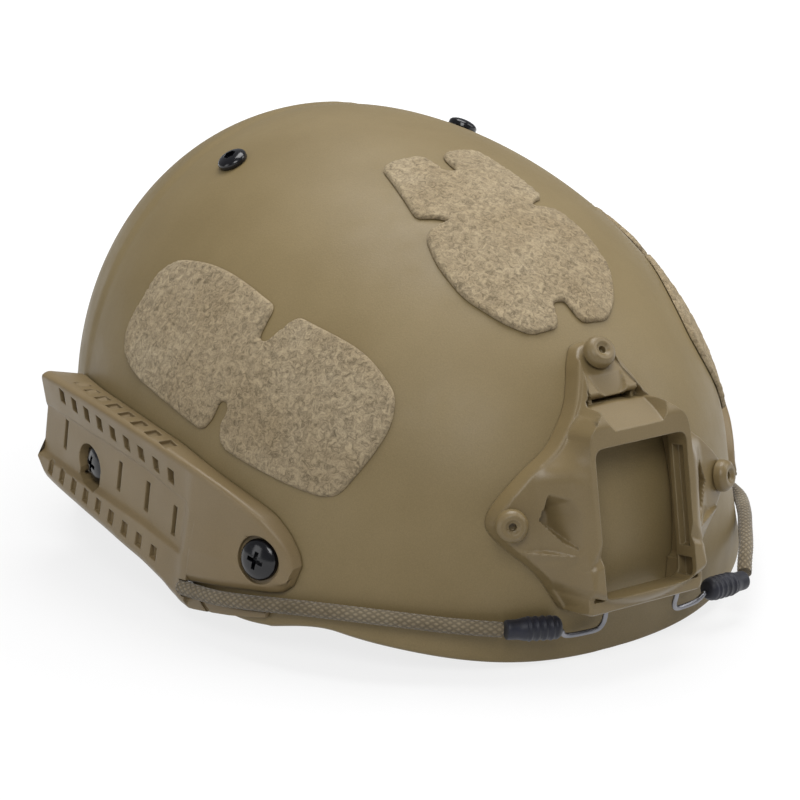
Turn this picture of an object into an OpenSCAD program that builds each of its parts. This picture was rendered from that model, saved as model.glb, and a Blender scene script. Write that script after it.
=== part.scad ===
// High cut combat helmet standing on its front brim and its nape.
// All pieces are drawn in the helmet's own frame, with the crown line at x = 0, y = 0,
// the front towards -Y and the wearer's right towards -X. placed() leans the whole helmet
// forward until brim and nape both touch the ground at z = 0.

/* [Shell] */
// Width of the shell over the ears
shell_w = 208; // [198:1:220]
// Reach of the shell in front of the crown line
shell_front = 135; // [128:1:142]
// Reach of the shell behind the crown line
shell_rear = 121; // [115:1:127]
// Height of the crown above the widest line
crown_h = 100.2; // [95.2:0.1:105.2]
// How much squarer the front of the shell is at the brim
brim_square = 0.25; // [0.1:0.01:0.35]
// Wall of the shell
shell_wall = 5; // [4:0.5:6]
// Height of the front brim, below the widest line
brim_z = -13; // [-16:0.5:-11]
// Rise of the brim from its middle to above the eyes
brim_rise = 4.4; // [3.4:0.1:5.4]
// Lowest point of the temple corner
temple_z = -21; // [-23:0.5:-19]
// Height of the cut above the ear
ear_z = -16; // [-18:0.5:-13]
// How far the rear part of the shell stands proud
rear_step = 1; // [0.6:0.1:1.6]
// Forward lean of the helmet when it rests
rest_pitch = 13.5; // [12.5:0.25:14.5]

/* [Rails] */
// Distance of a rail's outer edge from the middle, at its rear end
rail_out = 113; // [111:0.5:115]
// How far the rail turns in at its front tip
rail_toe = 22.5; // [21:0.5:24]
// Length of a rail
rail_len = 131.5; // [129:0.5:134]
// Depth of the channel between the two lips
rail_recess = 3.6; // [2.5:0.1:4]
// Distance between two notches in a lip
notch_pitch = 8.2; // [7.6:0.1:9]
// Distance between two upright slots in the channel floor
slot_pitch = 16; // [14:0.2:17.4]
// Diameter of a rail screw's head
rail_head_d = 13.6; // [12:0.1:14.5]
// Diameter of a rail screw's shank
rail_screw_d = 5; // [4:0.1:6]

/* [Shroud] */
// Lean of the shroud's front face
face_lean = 23.2; // [22:0.2:24.5]
// Width of the shroud's window
window_w = 36; // [32:1:38]
// Height of the shroud's window
window_h = 48; // [44:0.5:49]
// Thickness of the lobes under the screws
lobe_t = 6; // [4.5:0.1:7]
// Diameter of a shroud screw's head
shroud_head_d = 10.5; // [9:0.1:12]
// Diameter of a shroud screw's shank
shroud_screw_d = 4; // [3:0.1:5]

/* [Loop patches] */
// Thickness of the loop patches
patch_t = 1.6; // [1:0.1:2.5]

/* [Cords] */
// Diameter of the elastic cords
cord_d = 5; // [4.4:0.1:5.4]
// Largest diameter of a cord's ferrule
ferrule_d = 8; // [7:0.1:8.6]
// Diameter of the hook wire
hook_d = 1.7; // [1.2:0.1:2]

/* [Suspension] */
// Radius of the nape band about its centre
band_r = 84; // [82:0.5:86]
// Height of the toothed straps
band_h = 20; // [18:0.5:21]
// Teeth on the dial's pinion
pinion_teeth = 12; // [10:1:14]
// Pitch of the teeth, as the diameter for each tooth
tooth_module = 1; // [0.9:0.05:1.1]
// Diameter of the dial knob
knob_d = 29; // [24:1:30]
// Thickness of the comfort pads
pad_t = 15; // [12:1:17]

/* [Harness] */
// Width of the harness webbing
web_w = 15; // [13:1:17]
// Thickness of the harness webbing
web_t = 1.5; // [1.2:0.1:1.8]

/* [Hidden] */

// Gap between a piece and the one it seats on
seat = 0.3;
// Overlap that makes a cut run past a face
past = 1;

// Colours
tan_shell = [0.53, 0.47, 0.35];
tan_rail = [0.52, 0.47, 0.38];
tan_shroud = [0.47, 0.41, 0.31];
tan_loop = [0.62, 0.56, 0.46];
tan_cord = [0.5, 0.47, 0.38];
black = [0.08, 0.08, 0.09];
navy = [0.12, 0.13, 0.17];
steel = [0.7, 0.7, 0.72];
foam = [0.16, 0.16, 0.17];
web = [0.45, 0.4, 0.3];

// Shell form: exponents of its plan, side, front and rear curves
plan_curve = 2.07;
square_top = 25;
square_low = -16;
side_curve = 2;
front_curve = 2.16;
rear_curve = 2.44;
flare = 0.06;
ridge_y = 45;
ridge_lean = 0.34;
ridge_blend = 4;

// Rest position
rest_flat = 0.4;
rim_bulge = 0.3;
nape_sink = 1;

function mix(a, b, t) = a + (b - a) * t;
function smooth(t) = let (s = min(1, max(0, t))) s * s * (3 - 2 * s);
function spow(v, e) = sign(v) * pow(abs(v), e);
function unit(v) = v / norm(v);

// Width of a level of the shell as a share of the widest level
function taper(h, e) =
    h > 0 ? pow(1 - pow(min(h / crown_h, 0.9999), e), 1 / e) : 1 - flare * pow(h / crown_h, 2);
function half_x(h) = shell_w / 2 * taper(h, side_curve);
function y_curve(y) = y < 0 ? front_curve : rear_curve;
function half_y(h, y) = (y < 0 ? shell_front : shell_rear) * taper(h, y_curve(y));
// Exponent of the plan at a point's level: the front is squarer towards the brim
function level_n(p) = plan_curve
    + (p.y < 0 ? brim_square * pow(max(0, square_top - max(p.z, square_low)) / square_top, 2) : 0);
// Above 1 outside the smooth shell, below 1 inside it
function wall_f(p) =
    let (n = level_n(p)) pow(abs(p.x) / half_x(p.z), n) + pow(abs(p.y) / half_y(p.z, p.y), n);
function raised(p) = rear_step * smooth((p.y - ridge_y - ridge_lean * p.z) / ridge_blend + 0.5);

// A point of the smooth shell at compass angle u, 0 in front, and height h
function bare(u, h) =
    let (fy = -cos(u), n = level_n([0, fy, h]))
    [half_x(h) * spow(sin(u), 2 / n), half_y(h, fy) * spow(fy, 2 / n), h];
// Outward direction of the shell there
function outward(p) = unit([for (k = [0:2])
    let (d = [for (j = [0:2]) j == k ? 0.01 : 0]) wall_f(p + d) - wall_f(p - d)]);
// The shell's real surface, moved off along its normal
function skin(u, h, off) = let (p = bare(u, h)) p + outward(p) * (off + raised(p));

// The shell's x at a given y and z, and its y at a given x and z
function skin_x(y, z) =
    let (n = level_n([0, y, z]))
    half_x(z) * pow(1 - pow(min(0.999, abs(y) / half_y(z, y)), n), 1 / n);
function front_y(x, z) =
    let (n = level_n([0, -1, z]))
    -half_y(z, -1) * pow(1 - pow(min(0.999, abs(x) / half_x(z)), n), 1 / n);
// Compass angle of a point, for a place given by y and z
function angle_at(y, z) =
    let (x = skin_x(y, z), n = level_n([0, y, z]))
    atan2(pow(x / half_x(z), n / 2), -spow(y / half_y(z, y), n / 2));

// Height of the shell's edge at compass angle u, the same on both sides
function ground_z(y) = -(rest_lift + y * sin(rest_pitch)) / cos(rest_pitch);
function edge_z(u) =
    let (a = abs(u), nape_z = ground_z(-shell_rear * spow(cos(a), 2 / plan_curve)) - nape_sink)
    brim_z + brim_rise * (smooth(a / 40) + sin(90 * min(1, a / 40))) / 2
        + (temple_z - brim_z - brim_rise) * smooth((a - 48) / 25)
        + (ear_z - temple_z) * smooth((a - 76) / 10)
        + (nape_z - ear_z) * smooth((a - 108) / 34);

// A closed body through rings of points, closed at each end on one point
function ring_faces(m, n) = concat(
    [for (j = [0:m - 2], i = [0:n - 1]) [j * n + i, j * n + (i + 1) % n, (j + 1) * n + i]],
    [for (j = [0:m - 2], i = [0:n - 1])
        [j * n + (i + 1) % n, (j + 1) * n + (i + 1) % n, (j + 1) * n + i]],
    [for (i = [0:n - 1]) [m * n, (i + 1) % n, i]],
    [for (i = [0:n - 1]) [m * n + 1, (m - 1) * n + i, (m - 1) * n + (i + 1) % n]]);
function middle(ring) =
    [for (k = [0:2]) let (s = [for (p = ring) p[k]]) (min(s) + max(s)) / 2];
// Six times the volume inside the faces; below zero when they face outwards
function signed_volume(p, faces) =
    [for (f = faces) p[f[0]] * cross(p[f[1]], p[f[2]])] * [for (f = faces) 1];
module stack(rings, first, last) {
    points = concat([for (r = rings) for (p = r) p], [first, last]);
    faces = ring_faces(len(rings), len(rings[0]));
    inside_out = signed_volume(points, faces) > 0;
    polyhedron(points = points,
        faces = inside_out ? [for (f = faces) [f[2], f[1], f[0]]] : faces, convexity = 8);
}
module loft(rings) {
    stack(rings, middle(rings[0]), middle(rings[len(rings) - 1]));
}

// A smooth curve through the points of a route
function spline(p, i, t) =
    let (a = p[max(i - 1, 0)], b = p[i], c = p[i + 1], d = p[min(i + 2, len(p) - 1)])
    0.5 * (2 * b + (c - a) * t + (2 * a - 5 * b + 4 * c - d) * t * t
        + (3 * b - a - 3 * c + d) * t * t * t);
function along(p, steps) = concat(
    [for (i = [0:len(p) - 2], k = [0:steps - 1]) spline(p, i, k / steps)], [p[len(p) - 1]]);
// A round tube along a route
module tube(route, d, sides) {
    m = len(route);
    rings = [for (i = [0:m - 1])
        let (t = unit(route[min(i + 1, m - 1)] - route[max(i - 1, 0)]),
            s = unit(cross([0, 0.2, 1], t)), w = cross(t, s))
        [for (k = [0:sides - 1])
            route[i] + d / 2 * (cos(k * 360 / sides) * s + sin(k * 360 / sides) * w)]];
    stack(rings, route[0], route[m - 1]);
}

// Sides: the wearer's left is +X, and the right is its mirror image
module right_side() mirror([1, 0, 0]) children();
module both_sides() {
    children();
    mirror([1, 0, 0]) children();
}

// Stands its children on point p with +Z along direction v
module on_axis(p, v) {
    translate(p) rotate([0, acos(v.z), atan2(v.y, v.x)]) children();
}

// Places of the fastenings on the shell's surface
rail_front_y = -68.9;
rail_front_z = 3.3;
rail_back_y = 18;
rail_back_z = -8.2;
crown_bolt_y = 46;
crown_bolt_z = 83.6;
crown_u = angle_at(crown_bolt_y, crown_bolt_z);
lobe_x = 38.8;
lobe_z = 34.2;
top_screw_z = 72.5;
function on_shell(u, h) = skin(u, h, 0);
rail_front_at = on_shell(angle_at(rail_front_y, rail_front_z), rail_front_z);
rail_back_at = on_shell(angle_at(rail_back_y, rail_back_z), rail_back_z);
crown_at = on_shell(crown_u, crown_bolt_z);
lobe_at = [lobe_x, front_y(lobe_x, lobe_z), lobe_z];
top_screw_at = [0, front_y(0, top_screw_z), top_screw_z];
rail_front_out = outward(rail_front_at);
rail_back_out = outward(rail_back_at);
crown_out = outward(crown_at);
lobe_out = outward(lobe_at);
top_screw_out = outward(top_screw_at);

// Rest position of the whole helmet
brim_reach = half_y(brim_z, -1) - shell_wall / 2;
rest_lift = brim_reach * sin(rest_pitch)
    - (brim_z - rim_bulge * shell_wall) * cos(rest_pitch) - rest_flat;
window_top_z = 61.5;
face_top_y = front_y(0, window_top_z) - 19;
bar_low = 57;
front_reach = -(face_top_y - bar_low * sin(face_lean)) * cos(rest_pitch)
    + (window_top_z - bar_low * cos(face_lean)) * sin(rest_pitch);
rear_reach = 132.9;
rest_shift = (front_reach - rear_reach) / 2;
module placed() translate([0, rest_shift, rest_lift]) rotate([rest_pitch, 0, 0]) children();
// Ground plane, for cutting what stands on it flat
module ground() {
    translate([0, 0, -rest_lift / cos(rest_pitch)]) rotate([-rest_pitch, 0, 0])
        translate([-200, -250, -60]) cube([400, 500, 60]);
}

// Shell

shell_columns = 96;
shell_rows = 13;
pole_angle = 86;
function column(i) = -180 + 360 * i / shell_columns;
function level(u, t) =
    let (low = asin(edge_z(u) / crown_h)) crown_h * sin(mix(low, pole_angle, t));
// A bent slab under the shell's surface, between two depths, for fitting pieces to it
module shell_slab(u0, u1, h0, h1, off0, off1, nu, nh) {
    loft([for (i = [0:nu]) let (u = mix(u0, u1, i / nu)) concat(
        [for (k = [0:nh]) skin(u, mix(h0, h1, k / nh), off1)],
        [for (k = [nh:-1:0]) skin(u, mix(h0, h1, k / nh), off0)])]);
}
module shell_form() {
    outer_rows = [for (k = [shell_rows:-1:0]) [for (i = [0:shell_columns - 1])
        skin(column(i), level(column(i), k / shell_rows), 0)]];
    rim = [for (i = [0:shell_columns - 1])
        let (u = column(i), e = edge_z(u))
        skin(u, e, -shell_wall / 2) - [0, 0, rim_bulge * shell_wall]];
    inner_rows = [for (k = [0:shell_rows]) [for (i = [0:shell_columns - 1])
        skin(column(i), level(column(i), k / shell_rows), -shell_wall)]];
    stack(concat(outer_rows, [rim], inner_rows),
        [0, 0, crown_h], [0, 0, crown_h - shell_wall]);
}
module bolt_hole(p, v, d) {
    on_axis(p, v) translate([0, 0, -shell_wall * 2]) cylinder(d = d, h = shell_wall * 4, $fn = 32);
}
hole_gap = 0.5;
module shell() {
    color(tan_shell) placed() difference() {
        shell_form();
        ground();
        both_sides() {
            bolt_hole(rail_front_at, rail_front_out, rail_screw_d + hole_gap);
            bolt_hole(rail_back_at, rail_back_out, rail_screw_d + hole_gap);
            bolt_hole(crown_at, crown_out, rail_screw_d + hole_gap);
            bolt_hole(lobe_at, lobe_out, shroud_screw_d + hole_gap);
        }
        bolt_hole(top_screw_at, top_screw_out, shroud_screw_d + hole_gap);
    }
}

// Fastenings

// A domed screw head with its shank below, its seat at z = 0
module dome_screw(head_d, head_h, shank_d, shank_l) {
    edge = head_h * 0.35;
    rotate_extrude($fn = 48) polygon(concat(
        [[0, -shank_l], [shank_d / 2 - 0.4, -shank_l], [shank_d / 2, -shank_l + 0.4],
            [shank_d / 2, 0], [head_d / 2, 0], [head_d / 2, edge]],
        [for (a = [15:15:75]) [head_d / 2 * cos(a), edge + (head_h - edge) * sin(a)]],
        [[0, head_h]]));
}
module cross_recess(size, depth) {
    for (a = [0, 90]) rotate(a) translate([0, 0, -depth / 2])
        cube([size, size * 0.24, depth], center = true);
}
// A flanged sleeve nut on the inside of the wall, its flange's top at z = 0
module sleeve_nut(flange_d, flange_h, bore_d) {
    difference() {
        translate([0, 0, -flange_h]) cylinder(d = flange_d, h = flange_h, $fn = 40);
        translate([0, 0, -flange_h - past]) cylinder(d = bore_d, h = flange_h + 2 * past, $fn = 32);
    }
}

rail_seat_t = 1.8;
rail_head_h = 3.8;
// Depths below the shell's surface, in the order in which the pieces lie under a front rail screw
lug_t = 1.6;
// Room that a flat piece needs against the hollow side of the wall
bow = 0.5;
strap_depth = shell_wall + seat + bow + web_t / 2;
lug_depth = shell_wall + seat + bow + web_t + seat;
front_nut_depth = lug_depth + lug_t + seat;
rear_nut_depth = lug_depth + bow;
nut_d = 13;
nut_h = 2.2;
nut_gap = 0.06;

module rail_screw(p, v, depth) {
    on_axis(p + v * (seat + rail_seat_t), v) difference() {
        dome_screw(rail_head_d, rail_head_h, rail_screw_d, seat + rail_seat_t + depth + nut_h);
        translate([0, 0, rail_head_h]) cross_recess(6, 2.4);
    }
}
module rail_screws() {
    color(black) placed() both_sides() {
        rail_screw(rail_front_at, rail_front_out, front_nut_depth);
        rail_screw(rail_back_at, rail_back_out, rear_nut_depth);
    }
}
module rail_nuts() {
    color(steel) placed() both_sides() {
        on_axis(rail_front_at - rail_front_out * front_nut_depth, rail_front_out)
            sleeve_nut(nut_d, nut_h, rail_screw_d + nut_gap);
        on_axis(rail_back_at - rail_back_out * rear_nut_depth, rail_back_out)
            sleeve_nut(nut_d, nut_h, rail_screw_d + nut_gap);
    }
}

crown_head_d = 10.5;
crown_head_h = 3.2;
crown_nut_depth = shell_wall + seat + 2 * bow;
module crown_bolt() {
    on_axis(crown_at + crown_out * seat, crown_out) difference() {
        dome_screw(crown_head_d, crown_head_h, rail_screw_d,
            seat + crown_nut_depth + hanger_t + seat + nut_h);
        translate([0, 0, crown_head_h - 1.8]) cylinder(d = 4.6, h = 3, $fn = 6);
    }
}
module crown_bolts() {
    color(black) placed() both_sides() crown_bolt();
}
module crown_nuts() {
    color(steel) placed() both_sides()
        on_axis(crown_at - crown_out * (crown_nut_depth + hanger_t + seat), crown_out)
            sleeve_nut(nut_d, nut_h, rail_screw_d + nut_gap);
}

shroud_head_h = 4.4;
shroud_nut_depth = shell_wall + seat + bow;
module shroud_screw(p, v) {
    on_axis(p + v * (seat + lobe_t), v) difference() {
        rotate_extrude($fn = 48) polygon([[0, -seat - lobe_t - shroud_nut_depth - nut_h],
            [shroud_screw_d / 2, -seat - lobe_t - shroud_nut_depth - nut_h],
            [shroud_screw_d / 2, 0], [shroud_head_d / 2 - 0.6, 0], [shroud_head_d / 2, 0.6],
            [shroud_head_d / 2, shroud_head_h * 0.55], [shroud_head_d / 2 - 0.5, shroud_head_h * 0.8],
            [shroud_head_d / 2 - 1.6, shroud_head_h], [shroud_head_d * 0.24, shroud_head_h],
            [shroud_head_d * 0.15, shroud_head_h - 0.8], [0, shroud_head_h - 0.8]]);
        translate([0, 0, shroud_head_h - 3]) cylinder(d = shroud_head_d * 0.24, h = 4, $fn = 24);
    }
}
module shroud_screws() {
    color(tan_shroud) placed() {
        both_sides() shroud_screw(lobe_at, lobe_out);
        shroud_screw(top_screw_at, top_screw_out);
    }
}
module shroud_nuts() {
    color(steel) placed() {
        both_sides() on_axis(lobe_at - lobe_out * shroud_nut_depth, lobe_out)
            sleeve_nut(nut_d - 2, nut_h, shroud_screw_d + nut_gap);
        on_axis(top_screw_at - top_screw_out * shroud_nut_depth, top_screw_out)
            sleeve_nut(nut_d - 2, nut_h, shroud_screw_d + nut_gap);
    }
}

// Rails

rail_rear_y = 50;
rail_tip_y = rail_rear_y - rail_len;
step_y = -43.5;
// Heights along the rail, by y: where it meets the shell on top, its outer edge,
// the channel's upper and lower edges, its underside, and the underside of the arm
rail_top = [[-82, 5.5], [-80, 9], [-78, 11.2], [-73.5, 15], [-66, 18.6], [-53, 20.5], [-41, 21.5],
    [-25, 22.5], [-11, 21.5], [8, 19], [32, 13.5], [50, 8]];
rail_nose = [[-82, 5], [-80.5, 7.5], [-79, 10], [-74, 14.2], [-67, 18], [-51, 21.9], [-37.5, 22.8],
    [-22, 22.4], [-7, 21.2], [10, 19], [30, 15.5], [50, 11.5]];
channel_top = [[-43, 4], [-38, 9], [-17, 9], [4, 7], [19, 4.5], [34, 2], [50, -1]];
channel_low = [[-43, -5], [-38, -10], [-17, -10.5], [0, -12], [20, -15], [50, -20]];
rail_low = [[-44, -29], [-41, -29.4], [-36, -28.6], [-29, -26.6], [-15, -25.2], [0, -25.2],
    [19, -26.2], [44, -27.8], [50, -24.8]];
arm_low = [[-82, 1.4], [-81, -1.8], [-78.8, -4], [-68, -8.4], [-43.5, -18.4]];
function nose_x(y) = rail_out - rail_toe * pow(max(0, rail_rear_y - y) / rail_len, 3);
// Outer surface of the rail, at least t clear of the shell where the arm turns in
function out_x(y, z, t) = max(nose_x(y), rail_back(y, z) + t);
arm_t = 3.9;
// The channel fades out towards the front, and always leaves a floor
function recess_at(y) = min(rail_recess * smooth((y - step_y - 2) / 8),
    max(0, nose_x(y) - rail_back(y, -5) - floor_t));
function rail_back(y, z) = skin_x(y, z) + seat + raised([0, y, z]) + rail_fit;
rail_fit = 0.25;
back_rows = 6;
function rail_ring(y) =
    let (on_arm = y < step_y, top = lookup(y, rail_top), nose = lookup(y, rail_nose),
        low = on_arm ? lookup(y, arm_low) : lookup(y, rail_low),
        hi = lookup(y, channel_top), lo = lookup(y, channel_low),
        r = recess_at(y), lip = 0.45 * r,
        hi_z = on_arm ? mix(nose, low, 0.4) : hi,
        lo_z = on_arm ? mix(nose, low, 0.7) : lo,
        x = out_x(y, nose, arm_t), x_hi = out_x(y, hi_z, arm_t), x_lo = out_x(y, lo_z, arm_t))
    concat([[rail_back(y, top), y, top], [mix(rail_back(y, top), x, 0.85), y, nose + 0.3],
        [x, y, nose - 0.9], [x_hi - r * 0.8, y, hi_z], [x_hi - r, y, hi_z - 0.8],
        [x_lo - r, y, lo_z + 0.4], [x_lo - lip, y, lo_z - 0.8],
        [out_x(y, low + 3, arm_t * 0.9) - 0.2 - lip / 2, y, low + 3],
        [out_x(y, low + 0.6, arm_t * 0.6) - (on_arm ? 0.5 : 1.4) - lip / 2, y, low + 0.6],
        [max(rail_back(y, low) + 0.9, out_x(y, low, arm_t * 0.4) - (on_arm ? 0.6 : 3.2) - lip / 2), y, low]],
        [for (k = [0:back_rows]) let (z = mix(low, top - 0.5, k / back_rows))
            [rail_back(y, z), y, z]]);
rail_stations = [50, 44, 38, 32, 25, 18, 10, 2, -6, -14, -22, -29, -33, -37, -41, -43.4, -43.6, -46,
    -52, -58, -64, -70, -74, -77, -79, -80.5, -81.5];
module rail_body() {
    loft([for (y = rail_stations) rail_ring(y)]);
}
// The hollow behind the channel floor
floor_t = 2;
module rail_hollow() {
    loft([for (y = [46, 34, 22, 10, -2, -14, -24, -32])
        let (a = lookup(y, channel_top) + 5, b = lookup(y, channel_low) - 4.5,
            o = max(nose_x(y) - recess_at(y) - floor_t, rail_back(y, 0) + 0.4))
        [[rail_back(y, a) - 6, y, a], [o, y, a - 1], [o, y, b + 1], [rail_back(y, b) - 6, y, b]]]);
}
// Small rectangular notches along a lip
notch_w = 3.4;
notch_deep = 2.2;
module notch_row(first_y, count, heights, tall, inset) {
    for (i = [0:count - 1]) {
        y = first_y - i * notch_pitch;
        translate([nose_x(y) - inset, y, lookup(y, heights)])
            cube([2 * notch_deep, notch_w, tall], center = true);
    }
}
upper_notches = [[-45, 14.5], [-15, 14], [1, 13], [18, 11.5], [36, 9.5]];
lower_notches = [[-45, -18.5], [-20, -17.5], [6, -18], [23, -19.5], [41, -21.5]];
rear_slot_y = 35.8;
slot_z = [[-45, -2], [-16, -1.5], [0, -2.5], [36, -6]];
slot_w = 2.2;
slot_h = 11.4;
window_slot_w = 13;
module rail_window() {
    // An arched window over the rear screw
    translate([nose_x(rail_back_y) - 1, rail_back_y, rail_back_z]) rotate([0, -90, 0])
        linear_extrude(rail_recess + floor_t + 4) union() {
            circle(d = window_slot_w, $fn = 40);
            translate([-7, -window_slot_w / 2]) square([7, window_slot_w]);
        }
}
socket_gap = 0.5;
module rail() {
    difference() {
        union() {
            rail_body();
            toe_lip();
        }
        // The hollow leaves a solid seat round the rear screw
        difference() {
            rail_hollow();
            on_axis(rail_back_at, rail_back_out) cylinder(d = rail_head_d + 4, h = 30, center = true, $fn = 40);
        }
        rail_window();
        for (y = [rear_slot_y, 0, -slot_pitch, -2 * slot_pitch])
            translate([nose_x(y) - rail_recess, y, lookup(y, slot_z)])
                cube([12, slot_w, slot_h], center = true);
        notch_row(36, 9, upper_notches, 5.4, 1.2);
        notch_row(40.5, 9, lower_notches, 5.2, 0.4);
        // Shallow notches on the sloping top
        for (i = [0:7]) {
            y = 34 - i * notch_pitch;
            translate([mix(rail_back(y, 15), nose_x(y), 0.45), y, lookup(y, rail_nose)])
                cube([4.6, notch_w + 1, 2.4], center = true);
        }
        // Holes and head pockets of the screws
        on_axis(rail_back_at, rail_back_out) {
            cylinder(d = rail_screw_d + hole_gap, h = 20, $fn = 32);
            translate([0, 0, seat + rail_seat_t]) cylinder(d = rail_head_d + 0.8, h = 8, $fn = 40);
        }
        on_axis(rail_front_at, rail_front_out) {
            cylinder(d = rail_screw_d + hole_gap, h = 20, $fn = 32);
            translate([0, 0, seat + rail_seat_t]) cylinder(d = rail_head_d + 2.4, h = 20, $fn = 40);
        }
        // The pocket of the front screw runs out to the rear as a teardrop
        hull() {
            on_axis(rail_front_at, rail_front_out) translate([0, 0, seat + rail_seat_t + 0.4])
                cylinder(d = rail_head_d + 1.6, h = 16, $fn = 32);
            on_axis(rail_front_at + teardrop_tail, rail_front_out)
                translate([0, 0, seat + rail_seat_t + 0.8]) cylinder(d = 12, h = 16, $fn = 32);
        }
        // Socket of the cord
        socket_dir = unit(cord_start[1] - cord_start[0]);
        on_axis(cord_start[0] - socket_dir * seat, socket_dir)
            cylinder(d = cord_d + 2 * socket_gap, h = 4.2, $fn = 32);
        // A slanting groove across the lip
        on_axis(lip_groove_at, unit(lip_groove_dir)) translate([-1, -1, 0]) cube([2, 2, 10]);
    }
}
teardrop_tail = [5.7, 7.1, -1];
// A thin lip that carries on under the cord, along the brim
lip_t = 1.8;
lip_fit = 0.2;
lip_groove_at = [104, -48.5, -20.6];
lip_groove_dir = [-0.9, -5, -2.9];
module toe_lip() {
    loft([for (y = [-38.5, -41, -44, -47.5, -53, -60, -67, -74, -78])
        let (z = lookup(y, [[-78, -13.2], [-64, -20], [-47.5, -27.4], [-44, -28.8], [-38, -28.2]]),
            tall = lookup(y, [[-78, 2], [-64, 3.2], [-47.5, 4.6], [-45.5, 4], [-38, 3.5]]))
        [[rail_back(y, z) + lip_fit, y, z], [rail_back(y, z + tall) + lip_fit, y, z + tall],
            [rail_back(y, z + tall) + lip_t, y, z + tall], [rail_back(y, z) + lip_t, y, z]]]);
}
module left_rail() color(tan_rail) placed() rail();
module right_rail() color(tan_rail) placed() right_side() rail();

// Shroud

// Half sections by height: flange edge x, how far the flange edge stands off towards the front,
// outer edge of the face, and how far that edge lies behind the plane of the face
shroud_sections = [[77, 5.5, 4.5, 5, 19.5], [74.5, 8, 6, 8, 12], [72, 10, 6.3, 11.2, 5],
    [70, 11.5, 6.4, 13.6, 1.2], [67, 13.6, 6.4, 16, 0.2], [64, 16.3, 6.4, 18.2, 0],
    [61, 19.5, 6.6, 20.4, 0], [56.5, 24.1, 7, 22.7, 0], [53.5, 29, 7.4, 23.6, 0],
    [51, 33.5, 7.5, 24.2, 0], [49.5, 33, 7.5, 24.6, 0], [46, 27.6, 7, 25.2, 0],
    [40, 27.4, 6.5, 25.8, 0], [31, 27.8, 6, 26.8, 0], [22, 26.5, 6, 25.4, 0], [16, 24.9, 7, 24, 0],
    [11.5, 24, 8, 23.6, 0.4], [9, 23.5, 9, 22.8, 1.8]];
function face_y(z) = face_top_y - (window_top_z - z) * tan(face_lean);
shroud_sink = 5;
function shroud_half(s) =
    let (z = s[0], base = front_y(s[1], z) + shroud_sink, f = face_y(z) + s[4])
    [[s[1] - 1.6, base, z], [s[1], front_y(s[1], z) - s[2], z],
        [mix(s[3], s[1], 0.35) + 0.6, mix(f, front_y(s[1], z) - s[2], 0.86), z],
        [mix(s[3], s[1], 0.1) + 0.5, mix(f, front_y(s[1], z) - s[2], 0.5), z],
        [s[3], f + 1.4, z], [s[3] - 1.4, f, z]];
function flipped(half) = [for (i = [len(half) - 1:-1:0]) [-half[i].x, half[i].y, half[i].z]];
module shroud_block() {
    loft([for (s = shroud_sections) let (h = shroud_half(s)) concat(h, flipped(h))]);
}
// Screw lobe beside the frame, by height: outer edge
lobe_edge = [[18, 27], [21, 31], [24, 35.5], [27.5, 40.2], [31, 43.9], [34.5, 45.3], [38, 44.7],
    [42, 41.7], [46, 37.9], [50, 33.8]];
lobe_inner_x = 22;
module side_lobe() {
    lift = lobe_t + seat;
    loft([for (e = lobe_edge) let (z = e[0], x = e[1], xm = mix(lobe_inner_x, x, 0.5))
        [[lobe_inner_x, front_y(lobe_inner_x, z) + shroud_sink, z],
            [lobe_inner_x, front_y(lobe_inner_x, z) - lift * 1.22, z],
            [xm, front_y(xm, z) - lift * 1.22, z], [x - 1.2, front_y(x - 1.2, z) - lift * 1.14, z],
            [x, front_y(x, z) - lift * 0.8, z], [x - 2.4, front_y(x, z) + shroud_sink, z]]]);
}
// Web from the lobe down to the end of the bar, by height: outer edge and its stand-off
web_edge = [[9.2, 23.4, 9], [13, 26, 7], [18, 29, 6.4], [23, 33.5, 6.2], [27.5, 37.5, 6.2]];
module lower_web() {
    loft([for (e = web_edge) let (z = e[0], x = e[1], edge_y = front_y(x, z) - e[2])
        [[19, front_y(19, z) + shroud_sink, z], [21, face_y(z) + 2.2, z],
            [23.4, face_y(z) + 1.2, z], [x, edge_y, z], [x - 0.8, front_y(x, z) + shroud_sink, z]]]);
}
// Plate of the top lobe with the raised tab in front of it
top_lobe_r = 8;
// Tab by station: y and height of its upper face, half width, and the step to its lower face
tab_stations = [[-99, 77.3, 6.6, 1.2, -3.4], [-106, 73.8, 7.6, 1.2, -3.4], [-111, 71.5, 8.7, 0.6, -3],
    [-113.8, 70.2, 9.3, -1.1, -2.2]];
module top_lobe() {
    on_axis(top_screw_at, top_screw_out) translate([0, 0, -3])
        cylinder(r = top_lobe_r, h = 3 + seat + lobe_t, $fn = 48);
}
module top_tab() {
    loft([for (p = tab_stations)
        [[-p[2], p[0], p[1]], [p[2], p[0], p[1]],
            [p[2] - 0.5, p[0] + p[3], p[1] + p[4]], [0.5 - p[2], p[0] + p[3], p[1] + p[4]]]]);
}
module at_face() translate([0, face_top_y, window_top_z]) rotate([90 - face_lean, 0, 0]) children();
window_corner = 3;
frame_deep = 10;
wall_in = 20.5;
module rounded_window() {
    translate([0, -window_h / 2]) offset(r = window_corner, $fn = 24)
        square([window_w - 2 * window_corner, window_h - 2 * window_corner], center = true);
}
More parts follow.
